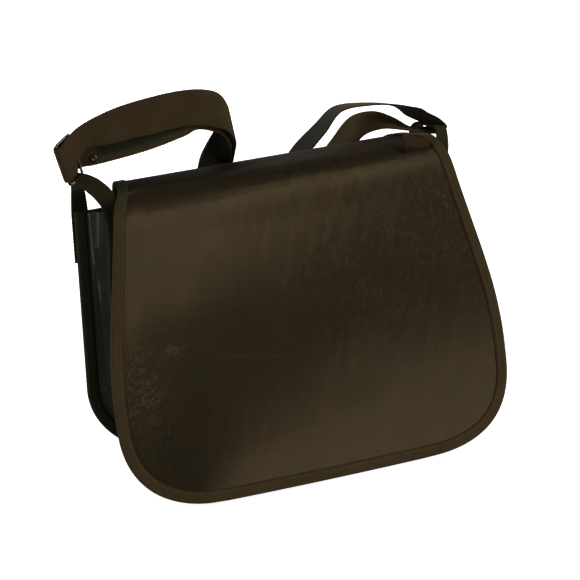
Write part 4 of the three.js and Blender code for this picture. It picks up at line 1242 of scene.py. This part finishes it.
# Each stretch, and whether its width lies slanting to the run; elsewhere the width is squared to it.
stretches = [
    (slide_bend, True),
    (LEFT_ARCH_OUTER, False),
    (FOLD_OUTER, True),
    (BEHIND_OUTER, False),
    (BEHIND_INNER, False),
    (FOLD_INNER, True),
    (LEFT_ARCH_INNER, False),
]
slanted = np.concatenate([np.full((len(rows), 1), slants) for rows, slants in stretches])
route = np.concatenate([np.array(rows, float) for rows, slants in stretches])
widths = route[:, 3:]
across = unit(square_to(closed_travel(route[:, :3]), widths)) * np.linalg.norm(widths, axis=1, keepdims=True)
at, strap_length = even_shares(route, STRAP_STEP, closed=True)
at = at[:-1]
strap_row = at * len(route)
strap_place = smooth_line(route[:, :3], at, closed=True)
strap_side = smooth_line(np.where(slanted, widths, across), at, closed=True)
strap_travel = closed_travel(strap_place)
strap_face = unit(np.cross(strap_travel, strap_side))


def along_strap(table):
    """A table of rows and values carried to every step of the strap on straight lines, as one column."""
    return np.interp(strap_row, *np.array(table).T)[:, None]


strap_profile = selvedged(webbing_profile(STRAP_WIDTH), at * strap_length, STRAP_SELVEDGE)
drawn = along_strap(DRAWN_UP) * (strap_profile[..., 0] < 0)
strap_profile = strap_profile * joined(1 - drawn, 1.0)
strap = swept("strap_webbing", strap_place, strap_side, strap_face, strap_profile, closed=True)
# Painted shade on the strap where shade falls, on the fold, the bight and under the outer run, and a painted
# highlight on the right arch's inner run.
shade_under_outer = along_strap(PAINTED_SHADE_UNDER_OUTER) * smooth_step(strap_profile[..., 0], *PAINTED_SHADE_UNDER_FROM)
inside = shade_under_outer + along_strap(INSIDE_PAINTED_LIGHT_AND_SHADE)
mark(strap, "painted_shade", np.where(strap_profile[..., 1] < 0, inside, along_strap(OUTSIDE_PAINTED_SHADE)))
dress(strap, webbing_cloth, "strap", slot="webbing")
flat = (0.038, round(strap_length * MM, 3))


# The rivet: a low domed head of dark plated steel, hammered through the strap's inner run beside the slide.
# It holds the strap's joined ends, and sits low on the webbing's width.
RIVET_RADIUS = 4.0
RIVET_HIGH = 1.6
RIVET_LOW = 11.0
RIVET_COLUMNS = 17
RIVET_RIM = 1.04
RIVET_DIMPLE = 0.7
RIVET_DIMPLE_HALF = 0.4
RIVET_DARK = srgb(26, 24, 20)
RIVET_RUBBED = srgb(74, 68, 55)
nearest = np.argmin(np.linalg.norm(strap_place - np.array(LEFT_ARCH_INNER[-1][:3]), axis=1))
rivet_along = strap_travel[nearest]
rivet_up = unit(square_to(rivet_along, strap_side[nearest]))
rivet_front = np.cross(rivet_up, rivet_along)
rivet_seat = strap_place[nearest] - rivet_up * RIVET_LOW + rivet_front * (WEBBING / 2)
square = np.linspace(-1, 1, RIVET_COLUMNS)
a, b = np.meshgrid(square, square)
disc_x, disc_y = a * np.sqrt(1 - b**2 / 2), b * np.sqrt(1 - a**2 / 2)
away = disc_x**2 + disc_y**2
dome = np.sqrt(np.clip(RIVET_RIM - away, 0, 1)) - RIVET_DIMPLE * bell(np.sqrt(away), RIVET_DIMPLE_HALF)
flat_disc = rivet_seat + (disc_x[..., None] * rivet_up + disc_y[..., None] * rivet_along) * RIVET_RADIUS
rivet = shell("rivet_head", flat_disc + RIVET_HIGH * dome[..., None] * rivet_front, flat_disc)
dress(rivet, metal_finish("dark_rivet", RIVET_DARK, RIVET_RUBBED), "strap_rivet", slot="metal")
